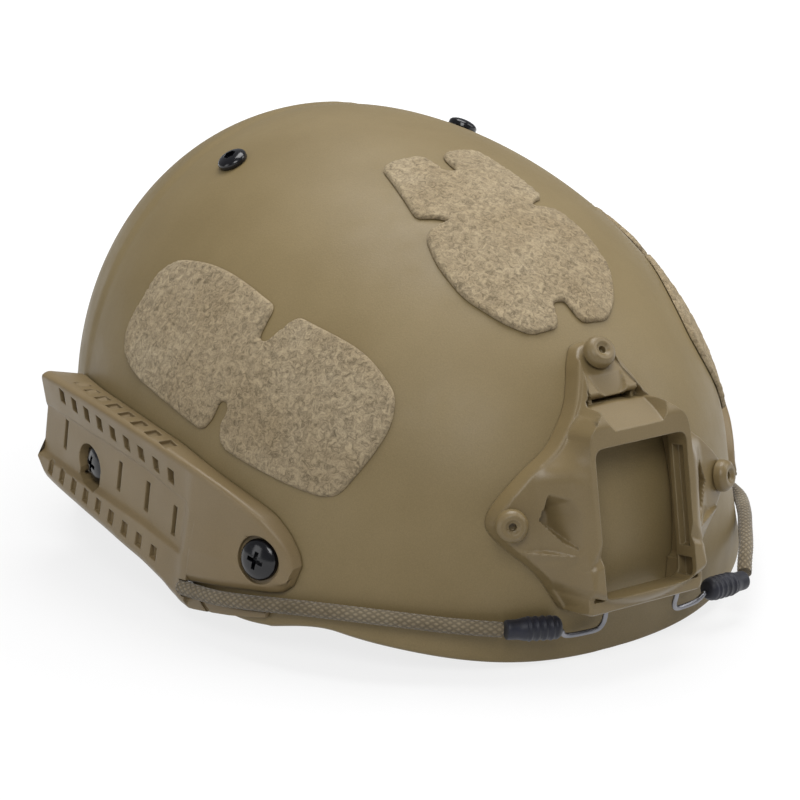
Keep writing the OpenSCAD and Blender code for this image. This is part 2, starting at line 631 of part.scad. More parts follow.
module shroud_frame() {
    difference() {
        union() {
            shroud_block();
            both_sides() {
                side_lobe();
                lower_web();
            }
        }
        // Window, and the hollow behind the frame, open below behind the bar
        at_face() translate([0, 0, -40]) linear_extrude(42) rounded_window();
        at_face() translate([-wall_in, -window_h - 30, -60])
            cube([2 * wall_in, window_h + 30 + 1.5, 60 - frame_deep]);
        both_sides() {
            // Upright recess in the window's side wall
            at_face() translate([window_w / 2 - 0.1, -window_h + 8, -7])
                cube([2.2, window_h - 12, 3.6]);
            // Step in the column above the bar
            at_face() translate([window_w / 2 - past, -window_h - 0.5, -3])
                rotate(12) cube([5, 9, 4]);
            // Upright slot in the corner between frame and lobe
            translate([27.4, -132, 32.5]) cube([1.6, 6, 8.5]);
        }
        // Pocket between the top cheeks
        top_pocket();
    }
}
module shroud() {
    color(tan_shroud) placed() difference() {
        union() {
            shroud_frame();
            top_lobe();
            top_tab();
        }
        // Seat on the shell
        shell_slab(-34, 34, -8, 92, -14, seat, 18, 18);
        // Screw holes, with clear room for the heads
        both_sides() screw_room(lobe_at, lobe_out);
        screw_room(top_screw_at, top_screw_out);
    }
}
module screw_room(p, v) {
    on_axis(p, v) {
        translate([0, 0, -4]) cylinder(d = shroud_screw_d + hole_gap, h = 24, $fn = 32);
        translate([0, 0, seat + lobe_t]) cylinder(d = shroud_head_d + 1, h = 24, $fn = 40);
    }
}
// Pocket between the top cheeks, by height: half width and its back wall
pocket_stations = [[78, 6.9, -103], [74, 7.6, -107], [70.7, 10.4, -113], [67.2, 11.6, -114.5],
    [66.2, 10.4, -115.5]];
module top_pocket() {
    loft([for (s = pocket_stations) [[-s[1], s[2], s[0]], [s[1], s[2], s[0]],
        [s[1] + 0.4, -140, s[0]], [-s[1] - 0.4, -140, s[0]]]]);
    // Slot under the tab, with a square hole at one end
    translate([-7.5, -120, 66.8]) cube([13, 9, 1.4]);
    translate([4.8, -120, 66.2]) cube([2.6, 11, 2.6]);
}

// Loop patches

module patch_cut(outline, t) {
    offset(r = 1.5, $fn = 16) offset(delta = -1.5) polygon(outline);
}
// Edges of a side patch, by y: the notches dip into the upper and the lower edge
side_upper = [[-85.5, 44], [-83.6, 54.4], [-79, 60.5], [-67, 67], [-53, 70], [-41, 70],
    [-34.6, 68.5], [-31, 63.4], [-26, 69.3], [-10, 68], [9, 66.8], [21.9, 62.8], [27.6, 58.8],
    [31, 50]];
side_lower = [[-85.5, 36], [-82, 30.4], [-76.5, 28], [-53, 27], [-37, 29.6], [-31.5, 38.6],
    [-30, 31.7], [-23, 28.6], [0, 29], [19, 28], [26.6, 33.3], [31, 42]];
side_stations = [-85.5, -83.6, -81, -76.5, -67, -60, -53, -41, -37, -34.6, -31.5, -30, -26, -18,
    -10, 0, 9, 16, 21.9, 26.6, 29, 31];
function beside(y, z, off) = let (p = [skin_x(y, z), y, z]) p + outward(p) * (off + raised(p));
side_rows = 6;
module side_patch() {
    loft([for (y = side_stations) let (lo = lookup(y, side_lower), hi = lookup(y, side_upper))
        concat([for (k = [0:side_rows]) beside(y, mix(lo, hi, k / side_rows), seat)],
            [for (k = [side_rows:-1:0])
                beside(y, mix(lo, hi, mix(0.02, 0.98, k / side_rows)), seat + patch_t)])]);
}
module left_side_patch() color(tan_loop) placed() side_patch();
module right_side_patch() color(tan_loop) placed() right_side() side_patch();
top_half = [[3.3, 1.5], [12, 2], [18, -1.5], [25, -9.5], [23.5, -31], [17.5, -38], [24, -40],
    [31, -62], [19, -84], [2.7, -85]];
module top_patch() {
    outline = concat([[0, -12.6]], top_half, [[0, -76]],
        [for (i = [len(top_half) - 1:-1:0]) [-top_half[i].x, top_half[i].y]]);
    color(tan_loop) placed() intersection() {
        linear_extrude(120) patch_cut(outline);
        top_slab(seat, seat + patch_t);
    }
}
// A slab that follows the crown, drawn as a grid over x and y
function top_z(x, y) =
    let (b = [for (k = 0, lo = 0, hi = crown_h; k < 22;
            k = k + 1,
            z = (lo + hi) / 2,
            out = wall_f([x, y, z]) > 1,
            lo = out ? lo : z,
            hi = out ? z : hi) (lo + hi) / 2])
    b[len(b) - 1];
function lifted(x, y, off) = let (p = [x, y, top_z(x, y)]) p + outward(p) * off;
module top_slab(off0, off1) {
    nx = 10;
    loft([for (i = [0:13]) let (y = mix(5, -89, i / 13)) concat(
        [for (k = [0:nx]) lifted(mix(-34, 34, k / nx), y, off0)],
        [for (k = [nx:-1:0]) lifted(mix(-34, 34, k / nx), y, off1)])]);
}
rear_outline = [[36, 14], [38, 20], [35, 42], [29, 47], [4, 47], [0, 39], [-4, 47], [-29, 47],
    [-35, 42], [-38, 20], [-36, 14], [-30, 10], [30, 10]];
module rear_patch() {
    color(tan_loop) placed() intersection() {
        rotate([90, 0, 0]) translate([0, 0, -140]) linear_extrude(100) patch_cut(rear_outline);
        shell_slab(150, 210, 6, 50, seat, seat + patch_t, 12, 8);
    }
}

// Elastic cords with their ferrules and hooks

// Route of a cord's middle line on the wearer's left, from inside the rail to the brim,
// and then to its ferrule: the right cord lies against the brim and the left one hangs slack
cord_start = [[105.5, -41.2, -21.9], [105.2, -44.6, -20.7], [104.5, -50.8, -18.6], [103, -60, -15.2],
    [99.9, -70, -11.2], [96.2, -78, -8.1]];
right_cord_end = [[90.7, -87.8, -4.6], [79.9, -102.4, -0.6], [69.9, -112.7, 1.3], [58.9, -121.6, 2.1],
    [49, -128.4, 2.6], [43.5, -131.3, 2.5]];
left_cord_end = [[90.7, -87.8, -4.6], [81.4, -100.2, -1], [73.2, -110, 1.2], [65, -120.2, 2.2],
    [59.8, -126.2, 1.8], [57, -129.6, 1], [55.2, -132, 0.2]];
module left_cord() color(tan_cord) placed() tube(along(concat(cord_start, left_cord_end), 2), cord_d, 10);
module right_cord() color(tan_cord) placed() right_side()
    tube(along(concat(cord_start, right_cord_end), 2), cord_d, 10);

ferrule_l = 18;
right_ferrule_from = [42.8, -131.7, 2.5];
right_ferrule_dir = [-17.2, -5.4, 0.1];
left_ferrule_from = [53.2, -134.4, -0.6];
left_ferrule_dir = [-18, -2.2, 1.8];
ferrule_neck = 6.4;
rib_count = 4;
rib_l = 2.4;
module ferrule(from, dir) {
    bulge_at = ferrule_l - rib_count * rib_l - 2;
    on_axis(from, unit(dir)) translate([0, 0, seat])
        rotate_extrude($fn = 32) polygon(concat(
            [[0, 0], [ferrule_neck / 2 - 0.3, 0], [ferrule_neck / 2, 0.5],
                [ferrule_neck / 2, bulge_at - 3]],
            [for (i = [0:rib_count - 1]) for (p = [[-0.35, 0.1], [0, 0.3], [0, 0.7], [-0.35, 0.9]])
                [ferrule_d / 2 + p[0], bulge_at + (i + p[1]) * rib_l]],
            [[ferrule_d / 2 - 0.3, ferrule_l - 1.2], [ferrule_d / 2 - 1.4, ferrule_l],
                [0, ferrule_l]]));
}
module left_ferrule() color(navy) placed() ferrule(left_ferrule_from, left_ferrule_dir);
module right_ferrule() color(navy) placed() right_side() ferrule(right_ferrule_from, right_ferrule_dir);
// The wire leaves the ferrule, runs under the bar and turns up behind it
right_hook_route = [[24.2, -137, 1.2], [23.2, -136.9, -0.8], [20.6, -136.9, -1.9],
    [14.4, -137.6, -1.9], [10.8, -138.7, -0.8], [9.6, -139.4, 2], [9.6, -139.6, 6], [9.6, -139.5, 10]];
left_hook_route = [[34.4, -137, 1.2], [33.4, -137, 0], [30.5, -137.3, -1.6], [25, -137.7, -2],
    [21.4, -138.3, -1.2], [19.6, -139, 1.4], [19.4, -139.4, 5], [19.4, -139.2, 9]];
module left_hook() color(steel) placed() tube(along(left_hook_route, 2), hook_d, 8);
module right_hook() color(steel) placed() right_side() tube(along(right_hook_route, 2), hook_d, 8);

// Comfort pads

pad_gap = 0.8;
function pad_off(fu, fh) =
    pad_t * pow(max(0, 1 - pow(abs(2 * fu - 1), 6)) * max(0, 1 - pow(abs(2 * fh - 1), 6)), 0.25);
module wall_pad(u0, u1, h0, h1, depth, nu, nh) {
    loft([for (i = [0:nu]) let (fu = mix(0.02, 0.98, i / nu), u = mix(u0, u1, fu)) concat(
        [for (k = [0:nh]) let (fh = mix(0.02, 0.98, k / nh)) skin(u, mix(h0, h1, fh), -depth)],
        [for (k = [nh:-1:0]) let (fh = mix(0.02, 0.98, k / nh))
            skin(u, mix(h0, h1, fh), -depth - pad_off(fu, fh))])]);
}
pad_depth = shell_wall + pad_gap;
module front_pad() color(foam) placed() wall_pad(-34, 34, -9, 26, pad_depth, 12, 8);
module rear_pad() color(foam) placed() wall_pad(152, 208, -6, 46, pad_depth, 12, 8);
module left_side_pad() color(foam) placed() wall_pad(70, 108, 12, 56, pad_depth, 12, 8);
module right_side_pad() color(foam) placed() right_side() wall_pad(70, 108, 12, 56, pad_depth, 12, 8);
crown_pad_low = 64;
crown_pad_sides = 32;
crown_pad_rows = 4;
module crown_pad() {
    angles = [for (i = [0:crown_pad_sides - 1]) -180 + 360 * i / crown_pad_sides];
    levels = [for (k = [0:crown_pad_rows]) mix(82, crown_pad_low, k / crown_pad_rows)];
    outer = [for (a = levels) [for (u = angles) skin(u, crown_h * sin(a), -pad_depth)]];
    inner = [for (k = [crown_pad_rows:-1:0]) [for (u = angles)
        let (f = (levels[k] - crown_pad_low) / (90 - crown_pad_low))
        skin(u, crown_h * sin(levels[k]), -pad_depth)
            - [0, 0, pad_t * pow(sin(90 * min(1, f * 2 + 0.1)), 0.5)]]];
    color(foam) placed() stack(concat(outer, inner),
        [0, 0, crown_h - pad_depth], [0, 0, crown_h - pad_depth - pad_t]);
}

// Nape band with its dial

band_lift = 18;
band_rear_y = 91;
band_rear_z = -49;
strap_t = 1.8;
strap_gap = 0.35;
module band_frame() {
    translate([0, band_rear_y - band_r * cos(band_lift), band_rear_z + band_r * sin(band_lift)])
        rotate([-band_lift, 0, 0]) children();
}
// A bent bar of the given radii and heights, from angle a to b, counted from the rear
module arc_bar(r0, r1, z0, z1, a, b) {
    rotate([0, 0, 90 - b]) rotate_extrude(angle = b - a, $fn = 180)
        translate([r0, z0]) square([r1 - r0, z1 - z0]);
}
inner_r = band_r - strap_t - strap_gap / 2;
outer_r = band_r + strap_gap / 2;
pinion_r = pinion_teeth * tooth_module / 2;
addendum = 0.85 * tooth_module;
dedendum = 1.1 * tooth_module;
edge_bar = band_h / 2 - pinion_r - dedendum;
slot_half = 17.5;
rack_end = 80;
rack_tail = 22;
backlash = 0.3;
pressure = 20;
// Toothed strap; tooth_side +1 has its teeth above the pinion, -1 below
module rack(r, side, tooth_side) {
    pitch_deg = tooth_module * 180 / (r + strap_t / 2);
    z_pitch = tooth_side * pinion_r;
    plain = -tooth_side * (pinion_r + addendum + 0.6);
    tips = z_pitch - tooth_side * addendum;
    gaps = floor((slot_half - pitch_deg * 0.6) / pitch_deg);
    difference() {
        arc_bar(r, r + strap_t, -band_h / 2, band_h / 2,
            side > 0 ? -rack_tail : -rack_end, side > 0 ? rack_end : rack_tail);
        arc_bar(r - past, r + strap_t + past, min(plain, tips), max(plain, tips), -slot_half, slot_half);
        for (i = [-gaps:gaps]) rotate((i + rack_phase + 0.5) * pitch_deg)
            translate([0, r + strap_t + past, 0]) rotate([90, 0, 0])
                linear_extrude(strap_t + 2 * past) rack_gap(z_pitch, tooth_side);
    }
}
rack_phase = 0.5;
// The gap between two teeth, open towards the pinion
module rack_gap(z, tooth_side) {
    half = PI * tooth_module / 4 + backlash / 2;
    deep = half - dedendum * tan(pressure);
    wide = half + (addendum + 0.2) * tan(pressure);
    polygon([[-deep, z + tooth_side * dedendum], [deep, z + tooth_side * dedendum],
        [wide, z - tooth_side * (addendum + 0.2)], [-wide, z - tooth_side * (addendum + 0.2)]]);
}
module left_rack() color(black) placed() band_frame() rack(inner_r, 1, 1);
module right_rack() color(black) placed() band_frame() rack(outer_r, -1, -1);

// Pinion with involute flanks
base_r = pinion_r * cos(pressure);
function involute(t) = base_r * [cos(t) + t * PI / 180 * sin(t), sin(t) - t * PI / 180 * cos(t)];
function unwind(r) = sqrt(max(0, pow(r / base_r, 2) - 1)) * 180 / PI;
function swing(r) = let (p = involute(unwind(r))) atan2(p.y, p.x);
tip_r = pinion_r + addendum;
root_r = pinion_r - dedendum;
tooth_half = 90 / pinion_teeth - backlash / 2 / pinion_r * 90 / PI + swing(pinion_r);
function flank(side) = [for (k = [0:4]) let (r = mix(base_r, tip_r, k / 4), a = tooth_half - swing(r))
    r * [cos(side * a), sin(side * a)]];
module pinion_outline() {
    circle(r = root_r, $fn = 48);
    for (i = [0:pinion_teeth - 1]) rotate(i * 360 / pinion_teeth + 90) {
        left = flank(-1);
        right = flank(1);
        polygon(concat([root_r * 0.8 * [cos(tooth_half), -sin(tooth_half)]],
            left, [right[4], right[3], right[2], right[1], right[0]],
            [root_r * 0.8 * [cos(tooth_half), sin(tooth_half)]]));
    }
}
journal_r = 3;
collar_r = 3.8;
bearing_gap = 0.06;
housing_wall = 2.6;
housing_half = 21;
housing_h = 13;
channel_in = inner_r - 0.3;
channel_out = outer_r + strap_t + 0.3;
cover_t = 2.4;
cover_in = channel_out + 0.1;
cover_out = cover_in + cover_t;
knob_in = cover_out + 0.4;
knob_l = 9;
// Stands its children on the dial's axis, +Z pointing out to the rear, at a distance from the centre
module dial_axis(r) translate([0, r, 0]) rotate([-90, 0, 0]) children();
module dial_pinion() {
    color(steel) placed() band_frame() {
        dial_axis(channel_in + 0.15) linear_extrude(channel_out - channel_in - 0.3) pinion_outline();
        dial_axis(channel_in - housing_wall + 0.3)
            cylinder(r = journal_r, h = housing_wall, $fn = 40);
        difference() {
            dial_axis(channel_out - 0.3) cylinder(r = collar_r, h = knob_in + 5 - channel_out, $fn = 40);
            dial_axis(knob_in - 1) cylinder(d = knob_screw_d - 0.1, h = 12, $fn = 24);
            // Flat that drives the knob
            dial_axis(knob_in) translate([collar_r - 0.8, -5, 0]) cube([5, 10, 12]);
        }
    }
}
knob_screw_d = 2.6;
grip_count = 18;
module dial_knob() {
    color(black) placed() band_frame() difference() {
        dial_axis(knob_in) rotate_extrude($fn = 72) polygon([[0, 0], [knob_d / 2 - 1.5, 0],
            [knob_d / 2, 1.5], [knob_d / 2, knob_l - 2], [knob_d / 2 - 2, knob_l], [0, knob_l]]);
        for (i = [0:grip_count - 1]) dial_axis(knob_in - past) rotate(i * 360 / grip_count)
            translate([knob_d / 2 + 0.5, 0, 0]) cylinder(d = 2.4, h = knob_l + 2 * past, $fn = 16);
        // Drive socket with its flat, and the screw's place
        difference() {
            dial_axis(knob_in - past) cylinder(r = collar_r + 0.08, h = past + 5.2, $fn = 40);
            dial_axis(knob_in - 2 * past) translate([collar_r - 0.7, -6, 0]) cube([6, 12, 12]);
        }
        dial_axis(knob_in) cylinder(d = knob_screw_d + 0.3, h = knob_l + past, $fn = 24);
        dial_axis(knob_in + knob_l - 2) cylinder(d = 6, h = 4, $fn = 32);
    }
}
module knob_screw() {
    color(steel) placed() band_frame() difference() {
        dial_axis(knob_in + knob_l - 2 + 0.05) rotate_extrude($fn = 32) polygon([[0, -6],
            [knob_screw_d / 2 - 0.07, -6], [knob_screw_d / 2 - 0.07, 0], [2.7, 0], [2.5, 1.2], [0, 1.6]]);
        dial_axis(knob_in + knob_l - 1.2) rotate(20) cube([0.7, 4, 2], center = true);
    }
}
module dial_housing() {
    color(black) placed() band_frame() difference() {
        union() {
            arc_bar(channel_in - housing_wall, channel_in, -housing_h, housing_h,
                -housing_half, housing_half);
            for (s = [-1, 1]) arc_bar(channel_in - 0.5, channel_out,
                s > 0 ? band_h / 2 + 0.3 : -housing_h, s > 0 ? housing_h : -band_h / 2 - 0.3,
                -housing_half, housing_half);
        }
        dial_axis(channel_in - housing_wall - past)
            cylinder(r = journal_r + bearing_gap, h = housing_wall + 2 * past, $fn = 40);
        // The ends are cut straight, like the sides of a buckle
        for (s = [-1, 1]) for (t = [-1, 1]) rotate(-s * housing_half) translate([0, band_r, t * housing_h])
            rotate([0, 45, 0]) cube([5, 16, 5], center = true);
    }
}
module dial_cover() {
    color(black) placed() band_frame() difference() {
        union() {
            arc_bar(cover_in, cover_out, -housing_h, housing_h, -housing_half, housing_half);
        }
        dial_axis(cover_in - 4)
            cylinder(r = collar_r + bearing_gap, h = cover_t + 10, $fn = 40);
        for (s = [-1, 1]) for (t = [-1, 1]) rotate(-s * housing_half) translate([0, band_r, t * housing_h])
            rotate([0, 45, 0]) cube([5, 16, 5], center = true);
    }
}
nape_pad_t = 10;
nape_pad_half = 25;
module nape_pad() {
    pad_out = channel_in - housing_wall - seat;
    color(foam) placed() band_frame() rotate([0, 0, 90 - nape_pad_half])
        rotate_extrude(angle = 2 * nape_pad_half, $fn = 180) polygon(concat(
            [[pad_out, -15], [pad_out, 15]],
            [for (a = [80:-20:-80]) [pad_out - nape_pad_t * pow(cos(a), 0.6), 15 * sin(a)]]));
}

// Arm on each side that guides a toothed strap and is held by the front rail screw
guide_wall = 1.6;
guide_gap = 0.35;
guide_from = 60;
guide_to = 94;
module band_arm(r) {
    hi = band_h / 2 + guide_gap;
    band_frame() difference() {
        arc_bar(r - guide_gap - guide_wall, r + strap_t + guide_gap + guide_wall,
            -hi - guide_wall, hi + guide_wall, guide_from, guide_to);
        arc_bar(r - guide_gap, r + strap_t + guide_gap, -hi, hi, guide_from - 1, guide_to - 1.6);
    }
    arm_from = band_at(r + strap_t / 2, guide_to - 0.5);
    lug_at = rail_front_at - rail_front_out * (lug_depth + lug_t / 2);
    to_band = arm_from - lug_at;
    // The bar lies flat under the nut before it bends in to the band
    along_wall = unit(to_band - rail_front_out * (to_band * rail_front_out));
    arm_bend = lug_at + along_wall * 2 * arm_flat - rail_front_out * arm_drop;
    difference() {
        union() {
            arm_bar([arm_from, mix(arm_from, arm_bend, 0.5), arm_bend,
                lug_at + along_wall * arm_flat, lug_at], rail_front_out);
            on_axis(lug_at, rail_front_out) cylinder(d = nut_d, h = lug_t, center = true, $fn = 40);
        }
        on_axis(lug_at, rail_front_out) cylinder(d = rail_screw_d + hole_gap, h = 9, center = true, $fn = 32);
    }
}
// A point of the band in the helmet's frame
function band_at(r, a) =
    [r * sin(a),
        band_rear_y - band_r * cos(band_lift) + r * cos(a) * cos(band_lift),
        band_rear_z + band_r * sin(band_lift) - r * cos(a) * sin(band_lift)];
arm_h = 11;
arm_flat = 7.2;
arm_drop = 2.1;
arm_bar_t = lug_t - 0.3;
module arm_bar(route, out) {
    m = len(route);
    loft([for (i = [0:m - 1]) let (t = unit(route[min(i + 1, m - 1)] - route[max(i - 1, 0)]),
        n = unit(out - t * (out * t)), w = cross(n, t))
        [route[i] + w * arm_h / 2 + n * arm_bar_t / 2, route[i] + w * arm_h / 2 - n * arm_bar_t / 2,
            route[i] - w * arm_h / 2 - n * arm_bar_t / 2, route[i] - w * arm_h / 2 + n * arm_bar_t / 2]]);
}
module left_band_arm() color(black) placed() band_arm(inner_r);
module right_band_arm() color(black) placed() right_side() band_arm(outer_r);

// Webbing that follows the inside of the shell: stations of compass angle, height and depth
function web_ring(s, t, w, thick) =
    let (p = bare(s[0], s[1]), n = outward(p), c = skin(s[0], s[1], -s[2]),
        d = unit(cross(n, t)))
    [c + d * w / 2 + n * thick / 2, c - d * w / 2 + n * thick / 2,
        c - d * w / 2 - n * thick / 2, c + d * w / 2 - n * thick / 2];
module webbing(stations, w, thick, steps) {
    s = along(stations, steps);
    m = len(s);
    loft([for (i = [0:m - 1])
        let (a = s[max(i - 1, 0)], b = s[min(i + 1, m - 1)],
            t = unit(skin(b[0], b[1], -b[2]) - skin(a[0], a[1], -a[2])))
        web_ring(s[i], t, w, thick)]);
}
hanger_t = 1.6;
hanger_w = 14;
hanger_depth = crown_nut_depth + hanger_t / 2;
module hanger() {
    difference() {
        webbing([[crown_u - 1, crown_bolt_z + 4, hanger_depth], [crown_u, crown_bolt_z, hanger_depth],
            [crown_u + 3, 72, hanger_depth], [crown_u + 5, 56, hanger_depth], [143, 30, hanger_depth],
            [146, 0, hanger_depth], [152, -22, hanger_depth + 5], [160, -37, hanger_depth + 14]],
            hanger_w, hanger_t, 4);
        bolt_hole(crown_at, crown_out, rail_screw_d + hole_gap);
    }
}
module left_hanger() color(web) placed() hanger();
module right_hanger() color(web) placed() right_side() hanger();

front_u = angle_at(rail_front_y, rail_front_z);
back_u = angle_at(rail_back_y, rail_back_z);
slider_u = 87;
slider_z = -19;
slider_l = 18;
// Depth that the two straps gain on their way to the slider
strap_drop = 1;
module front_strap() {
    difference() {
        webbing([[front_u - 5, rail_front_z + 5, strap_depth], [front_u, rail_front_z, strap_depth],
            [75, -12, strap_depth + 0.3], [slider_u - 3.5, slider_z, strap_depth + strap_drop]],
            web_w, web_t, 4);
        bolt_hole(rail_front_at, rail_front_out, rail_screw_d + hole_gap);
    }
}
module rear_strap() {
    difference() {
        webbing([[back_u + 5, rail_back_z + 2, strap_depth], [back_u, rail_back_z, strap_depth],
            [slider_u + 4, slider_z, strap_depth + strap_drop]], web_w, web_t, 4);
        bolt_hole(rail_back_at, rail_back_out, rail_screw_d + hole_gap);
    }
}
module left_front_strap() color(web) placed() front_strap();
module right_front_strap() color(web) placed() right_side() front_strap();
module left_rear_strap() color(web) placed() rear_strap();
module right_rear_strap() color(web) placed() right_side() rear_strap();
slider_t = 2.2;
slider_depth = strap_depth + strap_drop + web_t / 2 + seat + slider_t / 2;
module slider() {
    p = skin(slider_u, slider_z, -slider_depth);
    v = outward(bare(slider_u, slider_z));
    on_axis(p, v) rotate(90) difference() {
        cube([slider_l, web_w + 6, slider_t], center = true);
        for (s = [-1, 1]) translate([s * slider_l * 0.22, 0, 0])
            cube([3.4, web_w + 1, slider_t + 2], center = true);
    }
}
module strap_sliders() color(black) placed() both_sides() slider();
chin_depth = slider_depth + slider_t / 2 + seat + web_t / 2;
chin_end_u = 139;
chin_end_z = -47;
function chin_z(u) = mix(slider_z, chin_end_z, (u - slider_u) / (chin_end_u - slider_u));
module chin_strap() {
    webbing([for (u = [slider_u - 3, 100, 113, 126, chin_end_u]) [u, chin_z(u), chin_depth]],
        web_w, web_t, 3);
}
module left_chin_strap() color(web) placed() chin_strap();
module right_chin_strap() color(web) placed() right_side() chin_strap();
cup_t = 4;
module chin_cup() {
    color(foam) placed() right_side() webbing(
        [for (u = [124, 131, 138]) [u, chin_z(u), chin_depth + cup_t / 2 + web_t / 2 + seat]],
        22, cup_t, 4);
}
module on_chin(u, z) {
    v = outward(bare(u, z));
    on_axis(skin(u, z, -chin_depth), v) children();
}
buckle_l = 22;
buckle_w = 19;
buckle_t = 7;
plug_ahead = 7.3;
module buckle_socket() {
    color(black) placed() right_side() on_chin(chin_end_u + 8.8, chin_end_z - 3.5) rotate(102)
        difference() {
            cube([buckle_l, buckle_w, buckle_t], center = true);
            translate([-3, 0, 0]) cube([buckle_l, buckle_w - 4, buckle_t - 3], center = true);
            for (s = [-1, 1]) translate([0, s * buckle_w / 2, 0]) cube([8, 5, buckle_t - 2.4], center = true);
        }
}
module buckle_plug() {
    color(black) placed() on_chin(chin_end_u + plug_ahead, chin_end_z - 3.2) rotate(102) {
        translate([buckle_l / 4, 0, 0]) cube([buckle_l / 2 - 1, buckle_w - 1, buckle_t - 2], center = true);
        for (s = [-1, 1]) translate([-buckle_l / 4 + 1, s * (buckle_w / 2 - 3), 0])
            cube([buckle_l / 2, 2.4, buckle_t - 3.6], center = true);
        translate([-buckle_l / 4 + 1.5, 0, 0]) cube([buckle_l / 2, 3, buckle_t - 4], center = true);
    }
}

shell();
right_rail();
left_rail();
rail_screws();
rail_nuts();
shroud();
shroud_screws();
shroud_nuts();
right_side_patch();
left_side_patch();
top_patch();
rear_patch();
crown_bolts();
crown_nuts();
right_cord();
left_cord();
right_ferrule();
left_ferrule();
right_hook();
left_hook();
crown_pad();
front_pad();
rear_pad();
right_side_pad();
left_side_pad();
right_band_arm();
left_band_arm();
right_hanger();
left_hanger();
dial_housing();
dial_cover();
nape_pad();
right_rack();
left_rack();
dial_pinion();
dial_knob();
knob_screw();
right_front_strap();
left_front_strap();
right_rear_strap();
left_rear_strap();
strap_sliders();
right_chin_strap();
left_chin_strap();
chin_cup();
buckle_socket();
buckle_plug();
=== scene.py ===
import math

import bmesh
import bpy
import numpy as np
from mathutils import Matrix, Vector
from mathutils.geometry import delaunay_2d_cdt


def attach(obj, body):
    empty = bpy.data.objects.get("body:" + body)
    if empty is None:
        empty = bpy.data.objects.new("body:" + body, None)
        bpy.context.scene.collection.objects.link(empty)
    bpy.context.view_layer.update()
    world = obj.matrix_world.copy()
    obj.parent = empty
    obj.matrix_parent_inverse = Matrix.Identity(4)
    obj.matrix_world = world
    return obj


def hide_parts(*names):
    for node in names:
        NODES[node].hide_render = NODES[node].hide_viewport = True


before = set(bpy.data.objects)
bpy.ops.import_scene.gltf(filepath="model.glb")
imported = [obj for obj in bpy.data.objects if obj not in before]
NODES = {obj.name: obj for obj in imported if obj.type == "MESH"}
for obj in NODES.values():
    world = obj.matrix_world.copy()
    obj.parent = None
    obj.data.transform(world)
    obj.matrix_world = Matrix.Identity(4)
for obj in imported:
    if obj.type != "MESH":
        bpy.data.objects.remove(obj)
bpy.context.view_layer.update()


def to_scene(name, data):
    ob = bpy.data.objects.new(name, data)
    bpy.context.scene.collection.objects.link(ob)
    return ob


# Camera at the photograph's angle

cam_data = bpy.data.cameras.new("camera")
cam_data.lens = 128.0
cam_data.sensor_width = 36.0
cam = to_scene("camera", cam_data)
cam.location = (-0.5284, -0.7858, 0.3581)
cam.rotation_mode = "QUATERNION"
cam.rotation_quaternion = (Vector((0.00322, 0.00747, 0.04928)) - cam.location).to_track_quat("-Z", "Y")
cam_data.clip_start = 0.01
cam_data.clip_end = 50
bpy.context.scene.camera = cam
bpy.context.scene.view_settings.view_transform = "Standard"

# The helmet's own frame, in mm: front is -Y, the wearer's left is +X. It stands pitched back on its nape.

PITCH = math.radians(13.5)
SHIFT = 8.59625
LIFT = 44.599
CROWN = 100.2
HALF_WIDTH = 104
FRONT_REACH = 135
REAR_REACH = 121
REAR_SQUARE = 2.07
WALL = 5.0
SEAT = 0.3
PAD_GAP = 5.9


def to_row(p):
    p = np.asarray(p, float)
    y, z = p[..., 1], p[..., 2]
    return np.stack([
        p[..., 0],
        y * math.cos(PITCH) - z * math.sin(PITCH) + SHIFT,
        y * math.sin(PITCH) + z * math.cos(PITCH) + LIFT,
    ], -1) / 1000


def smooth(t):
    s = np.clip(t, 0, 1)
    return s * s * (3 - 2 * s)


def mix(a, b, t):
    return a + (b - a) * t


def spow(v, e):
    return np.sign(v) * np.abs(v) ** e


def unit(v):
    v = np.asarray(v, float)
    return v / np.linalg.norm(v, axis=-1, keepdims=True)


def taper(h, e):
    t = np.asarray(h, float) / CROWN
    return np.where(t > 0, (1 - np.minimum(np.abs(t), 0.9999) ** e) ** (1 / e), 1 - 0.06 * t * t)


def half_x(h):
    return HALF_WIDTH * taper(h, 2)


def half_y(h, y):
    return np.where(np.asarray(y) < 0, FRONT_REACH * taper(h, 2.16), REAR_REACH * taper(h, 2.44))


def level_n(y, z):
    square = 0.25 * (np.maximum(0, 25 - np.maximum(z, -16)) / 25) ** 2
    return REAR_SQUARE + np.where(np.asarray(y) < 0, square, 0)


def wall_f(p):
    """The form of the shell's outer face: 1 on it, more outside it."""
    x, y, z = p[..., 0], p[..., 1], p[..., 2]
    n = level_n(y, z)
    return (np.abs(x) / half_x(z)) ** n + (np.abs(y) / half_y(z, y)) ** n


def outward(p):
    """The direction away from the shell at the points p."""
    return unit(np.stack([wall_f(p + step) - wall_f(p - step) for step in 0.01 * np.eye(3)], -1))


def raised_at(y, z):
    """How far the rear part stands proud of the front part."""
    return smooth((y - 45 - 0.34 * z) / 4 + 0.5)


def raised(p):
    return raised_at(p[..., 1], p[..., 2])


def bare(u, h):
    a = np.radians(u)
    h = np.asarray(h, float) + 0 * a
    fy = -np.cos(a)
    n = level_n(fy, h)
    return np.stack([half_x(h) * spow(np.sin(a), 2 / n), half_y(h, fy) * spow(fy, 2 / n), h], -1)


def skin(u, h, off):
    p = bare(np.asarray(u, float), h)
    return p + outward(p) * (np.asarray(off, float) + raised(p))[..., None]


def skin_x(y, z):
    n = level_n(y, z)
    return half_x(z) * (1 - np.minimum(0.999, np.abs(y) / half_y(z, y)) ** n) ** (1 / n)


def skin_y(x, z, side):
    y = np.full(np.shape(z), float(side))
    n = level_n(y, z)
    return side * half_y(z, y) * (1 - np.minimum(0.999, np.abs(x) / half_x(z)) ** n) ** (1 / n)


